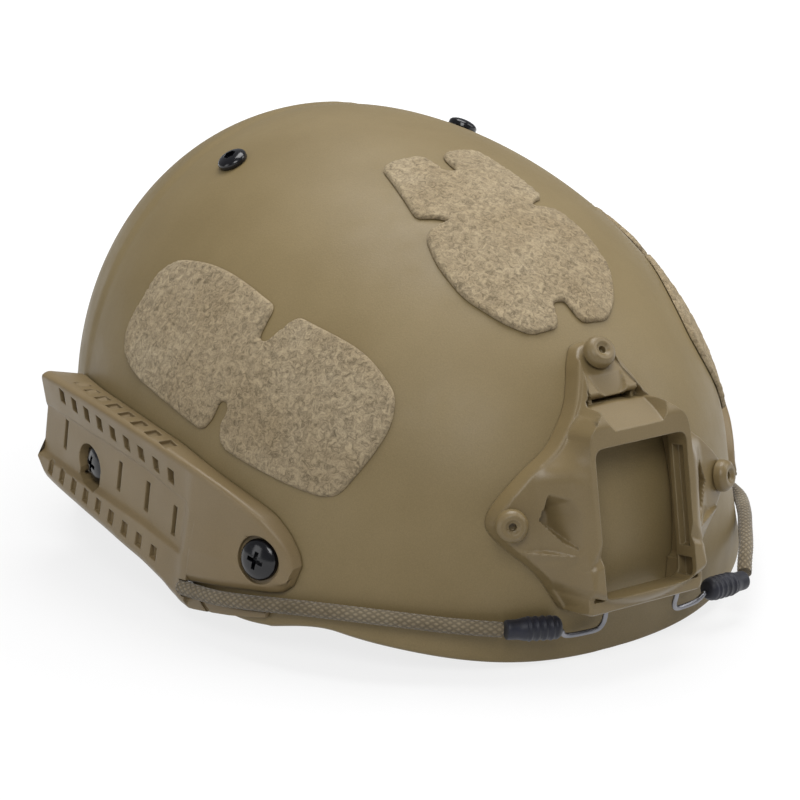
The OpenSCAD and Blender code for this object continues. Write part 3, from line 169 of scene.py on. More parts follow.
def top_z(x, y):
    lo, hi = np.zeros(np.shape(x)), np.full(np.shape(x), CROWN)
    for _ in range(30):
        z = (lo + hi) / 2
        out = wall_f(np.stack([x, y, z], -1)) > 1
        lo, hi = np.where(out, lo, z), np.where(out, z, hi)
    return (lo + hi) / 2


def edge_z(u):
    """Height of the shell's lower edge, u degrees round from the front."""
    a = np.abs(u)
    y = -REAR_REACH * spow(np.cos(np.radians(a)), 2 / REAR_SQUARE)
    nape = -(LIFT + y * math.sin(PITCH)) / math.cos(PITCH) - 1
    return (-13 + 4.4 * (smooth(a / 40) + np.sin(np.radians(90 * np.minimum(1, a / 40)))) / 2
            - 12.4 * smooth((a - 48) / 25) + 5 * smooth((a - 76) / 10)
            + (nape + 16) * smooth((a - 108) / 34))


def along(points, steps):
    """A smooth line through the points."""
    p = np.asarray(points, float)
    out = []
    for i in range(len(p) - 1):
        a, b, c, d = p[max(i - 1, 0)], p[i], p[i + 1], p[min(i + 2, len(p) - 1)]
        for k in range(steps):
            t = k / steps
            out.append(0.5 * (2 * b + (c - a) * t + (2 * a - 5 * b + 4 * c - d) * t * t
                              + (3 * b - a - 3 * c + d) * t ** 3))
    return np.array(out + [p[-1]])


def lattice(p, size, seed):
    """Smooth noise between -1 and 1 at the points p, in cells of the given size."""
    r = np.random.default_rng(seed)
    table = r.uniform(-1, 1, 4096)
    q = np.asarray(p, float) / size
    i = np.floor(q).astype(int)
    f = q - i
    f = f * f * (3 - 2 * f)
    total = 0
    for corner in np.ndindex(2, 2, 2):
        cell = (i + corner) * (73856093, 19349663, 83492791)
        key = cell[..., 0] ^ cell[..., 1] ^ cell[..., 2]
        total = total + np.where(corner, f, 1 - f).prod(-1) * table[np.abs(key) % 4096]
    return total


# Making objects


def new_object(name, verts, faces, is_smooth=True):
    me = bpy.data.meshes.new(name)
    me.from_pydata([tuple(v) for v in to_row(verts)], [], [tuple(int(k) for k in f) for f in faces])
    me.update()
    bm = bmesh.new()
    bm.from_mesh(me)
    bmesh.ops.recalc_face_normals(bm, faces=bm.faces)
    bm.to_mesh(me)
    bm.free()
    me.polygons.foreach_set("use_smooth", [is_smooth] * len(me.polygons))
    return to_scene(name, me)


def grid_faces(rows, cols):
    i, j = np.meshgrid(np.arange(rows - 1), np.arange(cols), indexing="ij")
    a = i * cols + j
    b = i * cols + (j + 1) % cols
    return np.stack([a, b, b + cols, a + cols], -1).reshape(-1, 4)


def ring_body(name, rings, tips=None):
    """A closed body through rings of points, with a fan at each end, to its middle or to the given tip."""
    rings = np.asarray(rings, float)
    rows, cols = rings.shape[:2]
    n = rows * cols
    ends = [[n, (j + 1) % cols, j] for j in range(cols)]
    ends += [[n + 1, n - cols + j, n - cols + (j + 1) % cols] for j in range(cols)]
    verts = np.concatenate([rings.reshape(-1, 3), tips or [rings[0].mean(0), rings[-1].mean(0)]])
    return new_object(name, verts, grid_faces(rows, cols).tolist() + ends)


def finish_piece(ob, mat, slot, *nodes, body="root"):
    ob.data.materials.clear()
    ob.data.materials.append(mat)
    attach(ob, body)
    if nodes:
        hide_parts(*nodes)
    return ob


def mirrored(v):
    return np.asarray(v, float) * np.array([-1.0, 1, 1])


# Materials


def rgb(r, g, b):
    def lin(c):
        c /= 255
        return c / 12.92 if c <= 0.04045 else ((c + 0.055) / 1.055) ** 2.4
    return (lin(r), lin(g), lin(b), 1)


class Tree:
    """Shader nodes. An input is given as a value or as another node's output."""

    def __init__(self, tree):
        self.nodes = tree.nodes
        self.links = tree.links

    def put(self, value, socket):
        if hasattr(value, "is_linked"):
            self.links.new(value, socket)
        else:
            socket.default_value = value

    def add(self, kind, **inputs):
        n = self.nodes.new("ShaderNode" + kind)
        for name, value in inputs.items():
            self.put(value, n.inputs[name.replace("_", " ")])
        return n

    def math(self, op, a, b):
        m = self.add("Math")
        m.operation = op
        self.put(a, m.inputs[0])
        self.put(b, m.inputs[1])
        return m.outputs[0]

    def vector_math(self, op, *values):
        m = self.add("VectorMath")
        m.operation = op
        for value, socket in zip(values, m.inputs):
            self.put(value, socket)
        return m.outputs["Value"]

    def mix_shaders(self, fac, a, b, output):
        m = self.add("MixShader")
        for value, socket in zip((fac, a.outputs[0], b.outputs[0]), m.inputs):
            self.put(value, socket)
        self.put(m.outputs[0], self.nodes[output].inputs["Surface"])


class Shader(Tree):
    def __init__(self, name, **values):
        self.mat = bpy.data.materials.new(name)
        self.mat.use_nodes = True
        super().__init__(self.mat.node_tree)
        self.bsdf = self.nodes["Principled BSDF"]
        self.coord = self.nodes.new("ShaderNodeTexCoord").outputs["Object"]
        self.round_normal = None
        for key, value in values.items():
            self.put(value, self.bsdf.inputs[key.replace("_", " ")])

    def noise(self, scale, detail=2, rough=0.5, distortion=0.0):
        return self.add("TexNoise", Scale=scale, Detail=detail, Roughness=rough, Distortion=distortion,
                        Vector=self.coord).outputs["Fac"]

    def wave(self, axis, vector):
        n = self.add("TexWave", Scale=1.0, Vector=vector)
        n.bands_direction = axis
        return n.outputs["Fac"]

    def ramp(self, fac, stops):
        r = self.add("ValToRGB", Fac=fac)
        e = r.color_ramp.elements
        e[0].position, e[0].color = stops[0]
        e[1].position, e[1].color = stops[-1]
        for place, colour in stops[1:-1]:
            e.new(place).color = colour
        return r.outputs["Color"]

    def greys(self, fac, low, dark, high, light):
        return self.ramp(fac, [(low, (dark, dark, dark, 1)), (high, (light, light, light, 1))])

    def blend(self, a, b, fac, kind="MULTIPLY"):
        m = self.add("Mix")
        m.data_type = "RGBA"
        m.blend_type = kind
        self.put(fac, m.inputs["Factor"])
        for name, value in (("A", a), ("B", b)):
            self.put(value, next(i for i in m.inputs if i.type == "RGBA" and i.name == name))
        return next(o for o in m.outputs if o.type == "RGBA")

    def to_range(self, fac, lo, hi, a=0.0, b=1.0):
        return self.add("MapRange", Value=fac, To_Min=lo, To_Max=hi, From_Min=a, From_Max=b).outputs["Result"]

    def soft_edges(self, radius):
        """Rounds the shading of the edges, and gives a mask of them."""
        b = self.add("Bevel", Radius=radius)
        b.samples = 6
        self.round_normal = b.outputs["Normal"]
        flat = self.add("NewGeometry").outputs["Normal"]
        return self.to_range(self.vector_math("DOT_PRODUCT", self.round_normal, flat), 1.0, 0.0, 0.75, 0.99)

    def finish(self, colour, rough, *heights):
        """Takes the colour, the roughness and the bumps, each as a height and its depth in metres."""
        self.put(colour, self.bsdf.inputs["Base Color"])
        self.put(rough, self.bsdf.inputs["Roughness"])
        normal = self.round_normal
        for fac, depth in heights:
            b = self.add("Bump", Strength=1.0, Distance=depth, Height=fac)
            if normal is not None:
                self.put(normal, b.inputs["Normal"])
            normal = b.outputs["Normal"]
        self.put(normal, self.bsdf.inputs["Normal"])
        return self.mat


def satin(name, tones, roughness, grain_scale, grain_depth, edge=0.0, worn_colour=None):
    """Paint or moulded plastic with a fine grain, lighter on its worn edges."""
    s = Shader(name, Specular_IOR_Level=0.42)
    light, base, dark = tones
    tone = s.ramp(s.noise(26, 3, 0.55), [(0.3, dark), (0.5, base), (0.7, light)])
    tone = s.blend(tone, s.greys(s.noise(grain_scale * 1.6, 2, 0.6), 0.35, 0.88, 0.7, 1.09), 0.6)
    if edge:
        worn = s.math("MULTIPLY", s.soft_edges(edge), s.to_range(s.noise(190, 3), 0.1, 0.9, 0.35, 0.6))
        tone = s.blend(tone, worn_colour, worn, "MIX")
    rough = s.to_range(s.noise(70, 3, 0.6), roughness - 0.05, roughness + 0.07, 0.3, 0.7)
    grain = s.noise(grain_scale, 3, 0.6)
    return s.finish(tone, rough, (grain, grain_depth), (s.noise(34), grain_depth * 2.2))


def tones(r, g, b, spread):
    return [rgb(r + k, g + k, b + k) for k in (spread, 0, -spread)]


SHELL = satin("shell_paint", tones(129, 112, 76, 4), 0.5, 1500, 0.00006)
RAIL = satin("rail_plastic", tones(128, 110, 78, 5), 0.4, 1900, 0.000022, 0.0007, rgb(156, 139, 108))
SHROUD = satin("shroud_plastic", tones(123, 106, 73, 5), 0.36, 1900, 0.00002, 0.0007, rgb(152, 136, 104))


def hard(name, dark, light, tone_scale, rough, grain, edge=0.0, light_from=0.7, **values):
    """Metal, plastic or rubber: two near tones, an uneven shine (scale, detail, low, high) and a grain."""
    s = Shader(name, **values)
    if edge:
        s.soft_edges(edge)
    scale, detail, low, high = rough
    return s.finish(s.ramp(s.noise(tone_scale, 3), [(0.3, dark), (light_from, light)]),
                    s.to_range(s.noise(scale, detail), low, high),
                    *((s.noise(size, fine), depth) for size, fine, depth in grain))


NEAR_BLACK = rgb(9, 9, 13)
BLACK_METAL = hard("black_metal", NEAR_BLACK, (*(1.5 * c for c in NEAR_BLACK[:3]), 1), 300,
                   (500, 2, 0.12, 0.26), [(900, 2, 0.00001)], 0.0004, 0.75, Specular_IOR_Level=0.35,
                   Coat_Weight=0.25, Coat_Roughness=0.08)
BLACK_PLASTIC = hard("black_plastic", rgb(30, 30, 32), rgb(38, 38, 40), 60, (120, 3, 0.43, 0.56),
                     [(2200, 2, 0.00003)], 0.0005, Specular_IOR_Level=0.45)
PINION_PLASTIC = hard("pinion_plastic", rgb(180, 176, 166), rgb(196, 192, 184), 60, (120, 3, 0.35, 0.48),
                      [(2200, 2, 0.00003)], 0.0005, Specular_IOR_Level=0.45)
RUBBER = hard("ferrule_rubber", rgb(17, 18, 28), rgb(27, 29, 42), 220, (400, 3, 0.4, 0.58),
              [(1500, 3, 0.00004), (240, 2, 0.00012)], Specular_IOR_Level=0.4, Sheen_Weight=0.12,
              Sheen_Roughness=0.5)
STEEL = hard("steel", rgb(112, 113, 118), rgb(138, 138, 142), 120, (200, 3, 0.3, 0.42), [(500, 2, 0.000004)],
             Metallic=1.0)


def loop_pile(name):
    s = Shader(name, Specular_IOR_Level=0.15, Sheen_Weight=0.35, Sheen_Roughness=0.45,
               Sheen_Tint=rgb(205, 190, 165))
    broad = s.ramp(s.noise(38, 4, 0.6), [(0.3, rgb(154, 137, 108)), (0.55, rgb(164, 148, 120)),
                                         (0.75, rgb(172, 157, 130))])
    fibre = s.ramp(s.noise(480, 5, 0.8, 1.2), [(0.36, (0.34, 0.33, 0.31, 1)), (0.6, (1.3, 1.3, 1.3, 1))])
    return s.finish(s.blend(broad, fibre, 0.75), 0.92, (s.noise(520, 4, 0.7, 2.0), 0.00045),
                    (s.noise(1700, 3, 0.7, 1.0), 0.00025))


PILE = loop_pile("loop_fabric")


def woven(name, base, light, dark, depth, sheen, painted_gap_shade, slant=0.0):
    """Fabric whose threads follow the lengths in the piece's own UV layer, turned by the angle slant, with
    painted shade in the gaps between the threads.
    """
    s = Shader(name, Specular_IOR_Level=0.2, Sheen_Weight=sheen, Sheen_Roughness=0.5)
    uv = s.add("UVMap")
    uv.uv_map = "threads"
    threads = s.add("Mapping", Rotation=(0, 0, slant), Vector=uv.outputs["UV"]).outputs["Vector"]
    weave = s.math("MULTIPLY", s.wave("X", threads), s.wave("Y", threads))
    tone = s.ramp(s.noise(60, 4, 0.6), [(0.3, dark), (0.5, base), (0.7, light)])
    # Threads lighter on their crowns and darker in the gaps between them: painted shade in the weave's
    # hollows.
    tone = s.blend(tone, s.greys(weave, 0.0, painted_gap_shade, 0.6, 1.08), 0.8)
    return s.finish(tone, 0.85, (weave, depth), (s.noise(2600, 3), 0.00006))


# 0.5 for the cord and 0.7 for the webbing set how dark the painted shade in the gaps between threads is.
CORD = woven("cord_fabric", rgb(128, 115, 92), rgb(138, 126, 103), rgb(114, 102, 80), 0.00022, 0.3, 0.5,
             math.radians(45))
WEBBING = woven("webbing", rgb(121, 108, 82), rgb(130, 117, 91), rgb(110, 97, 72), 0.00018, 0.25, 0.7)


def knit(name):
    s = Shader(name, Specular_IOR_Level=0.15, Sheen_Weight=0.4, Sheen_Roughness=0.4)
    cells = s.add("TexVoronoi", Scale=850, Vector=s.coord).outputs["Distance"]
    tone = s.ramp(s.noise(45, 4), [(0.3, rgb(40, 40, 42)), (0.7, rgb(52, 52, 55))])
    tone = s.blend(tone, s.greys(cells, 0.0, 1.15, 0.5, 0.7), 0.8)
    return s.finish(tone, 0.9, (cells, 0.0003), (s.noise(90, 3), 0.0005))


KNIT = knit("foam")

# Cords with their ferrules and hooks

CORD_D = 5
WIRE_D = 1.7
STRANDS = 12
STRAND_PITCH = 9.0
STRAND_RISE = 0.16
BRAID_U, BRAID_V = 0.16, 0.5657
cord_start = [[105.5, -41.2, -21.9], [105.2, -44.6, -20.7], [104.5, -50.8, -18.6], [103, -60, -15.2],
              [99.9, -70, -11.2], [96.2, -78, -8.1]]
right_cord_end = [[90.7, -87.8, -4.6], [79.9, -102.4, -0.6], [69.9, -112.7, 1.3], [58.9, -121.6, 2.1],
                  [49, -128.4, 2.6], [43.5, -131.3, 2.5]]
left_cord_end = [[90.7, -87.8, -4.6], [81.4, -100.2, -1], [73.2, -110, 1.2], [65, -120.2, 2.2],
                 [59.8, -126.2, 1.8], [57, -129.6, 1], [55.2, -132, 0.2]]
right_hook_route = [[24.2, -137, 1.2], [23.2, -136.9, -0.8], [20.6, -136.9, -1.9], [14.4, -137.6, -1.9],
                    [10.8, -138.7, -0.8], [9.6, -139.4, 2], [9.6, -139.6, 6], [9.6, -139.5, 10]]
left_hook_route = [[34.4, -137, 1.2], [33.4, -137, 0], [30.5, -137.3, -1.6], [25, -137.7, -2],
                   [21.4, -138.3, -1.2], [19.6, -139, 1.4], [19.4, -139.4, 5], [19.4, -139.2, 9]]


def even(route, step):
    d = np.r_[0, np.cumsum(np.linalg.norm(np.diff(route, axis=0), axis=1))]
    s = np.linspace(0, d[-1], max(2, int(d[-1] / step) + 1))
    return np.stack([np.interp(s, d, route[:, k]) for k in range(3)], 1), s


def tube_frames(route):
    t = unit(np.gradient(route, axis=0))
    side = unit(np.cross(np.array([0, 0.2, 1.0]), t))
    return side, np.cross(t, side)


def set_threads(ob, uv_of_vertex):
    layer = ob.data.uv_layers.new(name="threads")
    index = np.zeros(len(ob.data.loops), int)
    ob.data.loops.foreach_get("vertex_index", index)
    layer.data.foreach_set("uv", np.asarray(uv_of_vertex, float)[index].ravel())


def around(route, r, sides):
    """Rings around a route. The radius r is a value for each point, or a function of the angles."""
    a = np.linspace(0, 2 * math.pi, sides, endpoint=False)
    side, up = tube_frames(route)
    ray = np.cos(a)[None, :, None] * side[:, None, :] + np.sin(a)[None, :, None] * up[:, None, :]
    return route[:, None, :] + (r(a) if callable(r) else r[:, None])[..., None] * ray


def threads_on(ob, lengthways, across):
    """Gives a ring body the UV layer that the woven materials follow."""
    uv = np.stack(np.broadcast_arrays(lengthways[:, None], across), -1).reshape(-1, 2)
    set_threads(ob, np.concatenate([uv, uv[:1], uv[-1:]]))


def braid(name, route, node):
    route, s = even(along(route, 16), 0.28)
    sides = 64
    turn = STRANDS * math.pi / 2 * s[:, None] / STRAND_PITCH
    ends = np.minimum(1, np.minimum(s, s[-1] - s) / 0.6)[:, None]

    def radius(a):
        lift = np.abs(np.sin(STRANDS * a[None, :] / 2 + turn) * np.sin(STRANDS * a[None, :] / 2 - turn))
        waves = lattice(np.stack(np.broadcast_arrays(s[:, None], a * 3, 0.0), -1), 1.5, 3)
        return CORD_D / 2 - STRAND_RISE + STRAND_RISE * lift * ends + 0.03 * waves

    ob = ring_body(name, around(route, radius, sides))
    threads_on(ob, s * BRAID_U, np.linspace(0, 2 * math.pi, sides, endpoint=False) * BRAID_V)
    return finish_piece(ob, CORD, "cord_fabric", node)


def wire(name, route, node):
    route, s = even(along(route, 12), 0.3)
    r = WIRE_D / 2
    end = np.clip(np.minimum(s, s[-1] - s) / r, 0, 1)
    r = r * np.sqrt(np.clip(1 - (1 - end) ** 2, 0.02, 1))
    return finish_piece(ring_body(name, around(route, r, 28)), STEEL, "steel", node)


braid("left_bungee", cord_start + left_cord_end, "left_cord")
braid("right_bungee", mirrored(cord_start + right_cord_end), "right_cord")
wire("left_hook_wire", left_hook_route, "left_hook")
wire("right_hook_wire", mirrored(right_hook_route), "right_hook")


def lathe(name, profile, at, direction, sides):
    """A turned body: profile is (radius, distance along the axis)."""
    d = unit(direction)
    side = unit(np.cross(d, [0.1, 0.2, 1.0]))
    a = np.linspace(0, 2 * math.pi, sides, endpoint=False)[:, None]
    ray = np.cos(a) * side + np.sin(a) * np.cross(d, side)
    return ring_body(name, [np.asarray(at, float) + d * h + max(r, 0.01) * ray for r, h in profile])


def ferrule(name, at, direction, node):
    """A moulded rubber sleeve: a plain neck over the cord and a ribbed bulge towards the hook."""
    length, bulge, rib_end, taper_at, rib_pitch = 18, 6.4, 16, 16.2, 2.4
    h = np.linspace(0, length, 150)
    r = mix(3.2 - 0.3 * np.exp(-h / 0.35), 3.78, smooth((h - (bulge - 3.2)) / 3.6))
    rib = np.clip(np.sin((h - bulge) / rib_pitch * 2 * math.pi - 1.2), -0.35, 1)
    r = r + np.where((h > bulge) & (h < rib_end), 0.22 * rib, 0)
    r = np.where(h > taper_at, mix(r, 2.7, ((h - taper_at) / (length - taper_at)) ** 2), r)
    r = np.minimum(r, 4.0)
    profile = [(0.01, 0.0), (2.5, 0.0)] + list(zip(r, h)) + [(1.2, length), (0.01, length)]
    at = np.asarray(at, float) + unit(direction) * SEAT
    return finish_piece(lathe(name, profile, at, direction, 72), RUBBER, "ferrule_rubber", node)


ferrule("left_sleeve", [53.2, -134.4, -0.6], [-18, -2.2, 1.8], "left_ferrule")
ferrule("right_sleeve", mirrored([42.8, -131.7, 2.5]), mirrored([-17.2, -5.4, 0.1]), "right_ferrule")

# Shell

COLS, ROWS = 432, 110
u = -180 + 360 * np.arange(COLS) / COLS
low = np.degrees(np.arcsin(edge_z(u) / CROWN))
levels = [CROWN * np.sin(np.radians(mix(low, 86, k / ROWS))) for k in range(ROWS + 1)]
rings = [skin(u, h, 0) for h in reversed(levels)]
edge = edge_z(u)
for a in np.linspace(0, math.pi, 13)[1:-1]:
    rings.append(skin(u, edge, -WALL / 2 + WALL / 2 * math.cos(a)) - np.array([0, 0, 1.5 * math.sin(a)]))
rings += [skin(u, h, -WALL) for h in levels]
shell = ring_body("shell_skin", rings, [[0, 0, CROWN], [0, 0, CROWN - WALL]])
for v in shell.data.vertices:
    v.co.z = max(v.co.z, 0.0)
finish_piece(shell, SHELL, "shell_paint", "shell")

# Rigid pieces whose form is right are dressed from their own solids: edges kept crisp, curves smooth


def crisp(ob, angle, merge=4e-6, sliver=4e-6, outwards=False):
    me = ob.data
    bm = bmesh.new()
    bm.from_mesh(me)
    bmesh.ops.remove_doubles(bm, verts=bm.verts, dist=merge)
    bmesh.ops.dissolve_degenerate(bm, edges=bm.edges, dist=sliver)
    if outwards:
        bmesh.ops.recalc_face_normals(bm, faces=bm.faces)
    for f in bm.faces:
        f.smooth = True
    for e in bm.edges:
        e.smooth = len(e.link_faces) == 2 and e.calc_face_angle(0) < math.radians(angle)
    bm.to_mesh(me)
    bm.free()
    mod = ob.modifiers.new("normals", "WEIGHTED_NORMAL")
    mod.keep_sharp = True
    mod.weight = 60


def dressed(node, mat, slot, body):
    ob = to_scene(node + "_form", NODES[node].data.copy())
    ob.data.name = ob.name
    crisp(ob, 30, 2e-6, 1e-6, True)
    return finish_piece(ob, mat, slot, node, body=body)


# Accessory rails


def curve(table):
    """A smooth curve through the points of a table, without overshoot."""
    t = np.asarray(table, float)
    x, y = t[:, 0], t[:, 1]
    h, d = np.diff(x), np.diff(y) / np.diff(x)
    both = np.where(d[:-1] + d[1:] == 0, 1, d[:-1] + d[1:])
    m = np.r_[d[0], np.where(d[:-1] * d[1:] > 0, 2 * d[:-1] * d[1:] / both, 0), d[-1]]

    def f(q):
        q = np.clip(np.asarray(q, float), x[0], x[-1])
        i = np.clip(np.searchsorted(x, q, side="right") - 1, 0, len(x) - 2)
        s = (q - x[i]) / h[i]
        return ((1 + 2 * s) * (1 - s) ** 2 * y[i] + s * (1 - s) ** 2 * h[i] * m[i]
                + s * s * (3 - 2 * s) * y[i + 1] + s * s * (s - 1) * h[i] * m[i + 1])
    return f


rail_top = curve([[-82, 5.5], [-80, 9], [-78, 11.2], [-73.5, 15], [-66, 18.6], [-53, 20.5], [-41, 21.5],
                  [-25, 22.5], [-11, 21.5], [8, 19], [32, 13.5], [50, 8]])
rail_nose = curve([[-82, 5], [-80.5, 7.5], [-79, 10], [-74, 14.2], [-67, 18], [-51, 21.9], [-37.5, 22.8],
                   [-22, 22.4], [-7, 21.2], [10, 19], [30, 15.5], [50, 11.5]])
channel_top = curve([[-43, 4], [-38, 9], [-17, 9], [4, 7], [19, 4.5], [34, 2], [50, -1]])
channel_low = curve([[-43, -5], [-38, -10], [-17, -10.5], [0, -12], [20, -15], [50, -20]])
rail_low = curve([[-44, -29], [-41, -29.4], [-36, -28.6], [-29, -26.6], [-15, -25.2], [0, -25.2], [19, -26.2],
                  [44, -27.8], [50, -24.8]])
arm_low = curve([[-82, 1.4], [-81, -1.8], [-78.8, -4], [-68, -8.4], [-43.5, -18.4]])
STEP_Y = -43.5
ARM_T = 3.9
RECESS = 3.6
SCREW_BORE = 5.5
FRONT_SEAT_D = 16
REAR_SEAT_D = 14.4
SEAT_DEPTH = 2.1


def nose_x(y):
    return 113 - 22.5 * (np.maximum(0, 50 - np.asarray(y, float)) / 131.5) ** 3


def rail_back(y, z):
    return skin_x(y, z) + SEAT + raised_at(y, z) + 0.25


def out_x(y, z, t):
    return np.maximum(nose_x(y), rail_back(y, z) + t)


def recess_at(y):
    room = float(nose_x(y) - rail_back(y, -5.0)) - 2
    return min(RECESS * float(smooth((y - STEP_Y - 2) / 8)), max(0.0, room))


def rounded(points, radii, steps=4, reach=0.45):
    """The closed line with each corner replaced by a curve of its own size."""
    out = []
    for k, (b, r) in enumerate(zip(points, radii)):
        if r <= 0:
            out.append(b)
            continue
        ends = points[k - 1], points[(k + 1) % len(points)]
        a, c = (b + (end - b) * min(r / max(np.linalg.norm(end - b), 1e-6), reach) for end in ends)
        out += [(1 - t) ** 2 * a + 2 * t * (1 - t) * b + t * t * c for t in np.linspace(0, 1, steps)]
    return np.array(out)


def rail_ring(y):
    arm = y < STEP_Y
    top, nose = rail_top(y), rail_nose(y)
    low = arm_low(y) if arm else rail_low(y)
    hi_z, lo_z = (mix(nose, low, 0.4), mix(nose, low, 0.7)) if arm else (channel_top(y), channel_low(y))
    r = recess_at(y)
    lip = 0.45 * r
    x, x_hi, x_lo = (out_x(y, z, ARM_T) for z in (nose, hi_z, lo_z))
    x_wall, x_edge, x_foot = (
        out_x(y, low + rise, ARM_T * share) - (on_arm if arm else on_body) - lip / 2
        for rise, share, on_arm, on_body in ((3, 0.9, 0.2, 0.2), (0.6, 0.6, 0.5, 1.4), (0, 0.4, 0.6, 3.2)))
    pts = [[rail_back(y, top), top], [mix(rail_back(y, top), x, 0.85), nose + 0.3], [x, nose - 0.9],
           [x_hi - 0.8 * r, hi_z], [x_hi - r, hi_z - 0.8], [x_lo - r, lo_z + 0.4], [x_lo - lip, lo_z - 0.8],
           [x_wall, low + 3], [x_edge, low + 0.6], [max(rail_back(y, low) + 0.9, x_foot), low]]
    pts += [[rail_back(y, z), z] for z in (mix(low, top - 0.5, k / 9) for k in range(10))]
    ring = rounded(np.array(pts, float), [0.25, 1.3, 1.3, 0.5, 0.8, 0.8, 0.6, 0.9, 0.5, 0.3] + [0] * 10)
    return np.stack([ring[:, 0], np.full(len(ring), y), ring[:, 1]], 1)


def box_mesh(centre, size, turn=None, at=None):
    ends = (-0.5, 0.5)
    c = np.array([[x, y, z] for x in ends for y in ends for z in ends]) * size + np.asarray(centre, float)
    if turn is not None:
        c = c @ turn.T + np.asarray(at, float)
    f = [[0, 1, 3, 2], [4, 6, 7, 5], [0, 4, 5, 1], [2, 3, 7, 6], [0, 2, 6, 4], [1, 5, 7, 3]]
    return c, f


def on_axis(v):
    """Turns local +Z onto the direction v, the way the part's own source does."""
    v = unit(v)
    tilt, spin = math.acos(max(-1, min(1, v[2]))), math.atan2(v[1], v[0])
    ry = np.array([[math.cos(tilt), 0, math.sin(tilt)], [0, 1, 0], [-math.sin(tilt), 0, math.cos(tilt)]])
    rz = np.array([[math.cos(spin), -math.sin(spin), 0], [math.sin(spin), math.cos(spin), 0], [0, 0, 1]])
    return rz @ ry


def prism(outline, z0, z1, turn, at):
    """Points and faces of an outline's prism; z0 and z1 are one height or a height for each point."""
    o = np.asarray(outline, float)
    n = len(o)
    c = np.concatenate([np.c_[o, np.full(n, z0)], np.c_[o, np.full(n, z1)]])
    f = [list(range(n))[::-1], list(range(n, 2 * n))]
    f += [[k, (k + 1) % n, n + (k + 1) % n, n + k] for k in range(n)]
    return c @ turn.T + np.asarray(at, float), f


def disc(d, sides=64):
    a = np.linspace(0, 2 * math.pi, sides, endpoint=False)
    return np.stack([np.cos(a), np.sin(a)], 1) * d / 2


def cutter(shapes, mirror=False):
    verts, faces, base = [], [], 0
    for c, f in shapes:
        verts.append(mirrored(c) if mirror else c)
        faces += [[k + base for k in face] for face in f]
        base += len(c)
    return new_object("cutter", np.concatenate(verts), faces, False)


def carve(ob, cutters, operation="DIFFERENCE"):
    for c in cutters:
        mod = ob.modifiers.new("cut", "BOOLEAN")
        mod.operation = operation
        mod.solver = "MANIFOLD"
        mod.object = c
    deps = bpy.context.evaluated_depsgraph_get()
    me = bpy.data.meshes.new_from_object(ob.evaluated_get(deps))
    ob.modifiers.clear()
    ob.data = me
    for c in cutters:
        bpy.data.objects.remove(c, do_unlink=True)
    return ob


def surface_at(y, z):
    p = np.array([float(skin_x(y, z)), y, z])
    return p, outward(p)


def surface_front(x, z):
    p = np.array([x, float(skin_y(abs(x), z, -1)), z])
    return p, outward(p)


front_at, front_out = surface_at(-68.9, 3.3)
back_at, back_out = surface_at(18.0, -8.2)


def inner_lip():
    """The lip under the rail, against the shell."""
    y = np.arange(-38.5, -78.1, -1.5)
    z = np.interp(y, [-78, -64, -47.5, -44, -38], [-13.2, -20, -27.4, -28.8, -28.2])
    tall = np.interp(y, [-78, -64, -47.5, -45.5, -38], [2, 3.2, 4.6, 4, 3.5])
    rings = []
    for b, a, t in zip(y, z, tall):
        corners = [[rail_back(b, c) + x, c] for c, x in ((a, 0.2), (a + t, 0.2), (a + t, 1.8), (a, 1.8))]
        ring = rounded(np.array(corners), [0.1, 0.1, 0.4, 0.5], 3)
        rings.append(np.stack([ring[:, 0], np.full(len(ring), b), ring[:, 1]], 1))
    return np.array(rings)


def rail_holes():
    """Four slots in the channel, and the rows of small windows above and below it and along the top."""
    pitch = 8.2
    slots, above, below = (
        [box_mesh([nose_x(y) - drop, y, np.interp(y, *heights)], size) for y in places]
        for places, drop, size, heights in (
            ((35.8, 0, -16, -32), RECESS, [12, 2.2, 11.4], ([-45, -16, 0, 36], [-2, -1.5, -2.5, -6])),
            (36 - pitch * np.arange(9), 1.2, [4.4, 3.4, 5.4],
             ([-45, -15, 1, 18, 36], [14.5, 14, 13, 11.5, 9.5])),
            (40.5 - pitch * np.arange(9), 0.4, [4.4, 3.4, 5.2],
             ([-45, -20, 6, 23, 41], [-18.5, -17.5, -18, -19.5, -21.5]))))
    holes = slots + [hole for pair in zip(above, below) for hole in pair]
    for y in 34 - pitch * np.arange(8):
        holes.append(box_mesh([mix(rail_back(y, 15.0), nose_x(y), 0.45), y, rail_nose(y)], [4.6, 4.4, 2.4]))
    return holes


def rail_hollow():
    rings = []
    for y in (46, 34, 22, 10, -2, -14, -24, -32):
        a, b = channel_top(y) + 5, channel_low(y) - 4.5
        x = max(nose_x(y) - recess_at(y) - 2, rail_back(y, 0.0) + 0.4)
        rings.append([[rail_back(y, a) - 6, y, a], [x, y, a - 1], [x, y, b + 1], [rail_back(y, b) - 6, y, b]])
    return np.array(rings, float)


def hull(points):
    """The convex outline of the points."""
    line = []
    points = sorted(map(tuple, points))
    for course in (points, points[::-1]):
        half = []
        for p in course:
            while len(half) > 1:
                (ax, ay), (bx, by) = half[-2:]
                if (bx - ax) * (p[1] - ay) - (by - ay) * (p[0] - ax) > 1e-12:
                    break
                half.pop()
            half.append(p)
        line += half[:-1]
    return np.array(line)


def pocket():
    """The funnel from the front screw's seat down to the cord."""
    turn = on_axis(front_out)
    tail = turn.T @ np.array([5.7, 7.1, -1.0])
    outline = hull(np.concatenate([disc(15.2, 96), disc(12, 96) + tail[:2]]))
    share = np.clip((outline @ tail[:2]) / (tail[:2] @ tail[:2]), 0, 1.3)
    return prism(outline, 2.5 + (tail[2] + 0.4) * share, 18.5, turn, front_at)


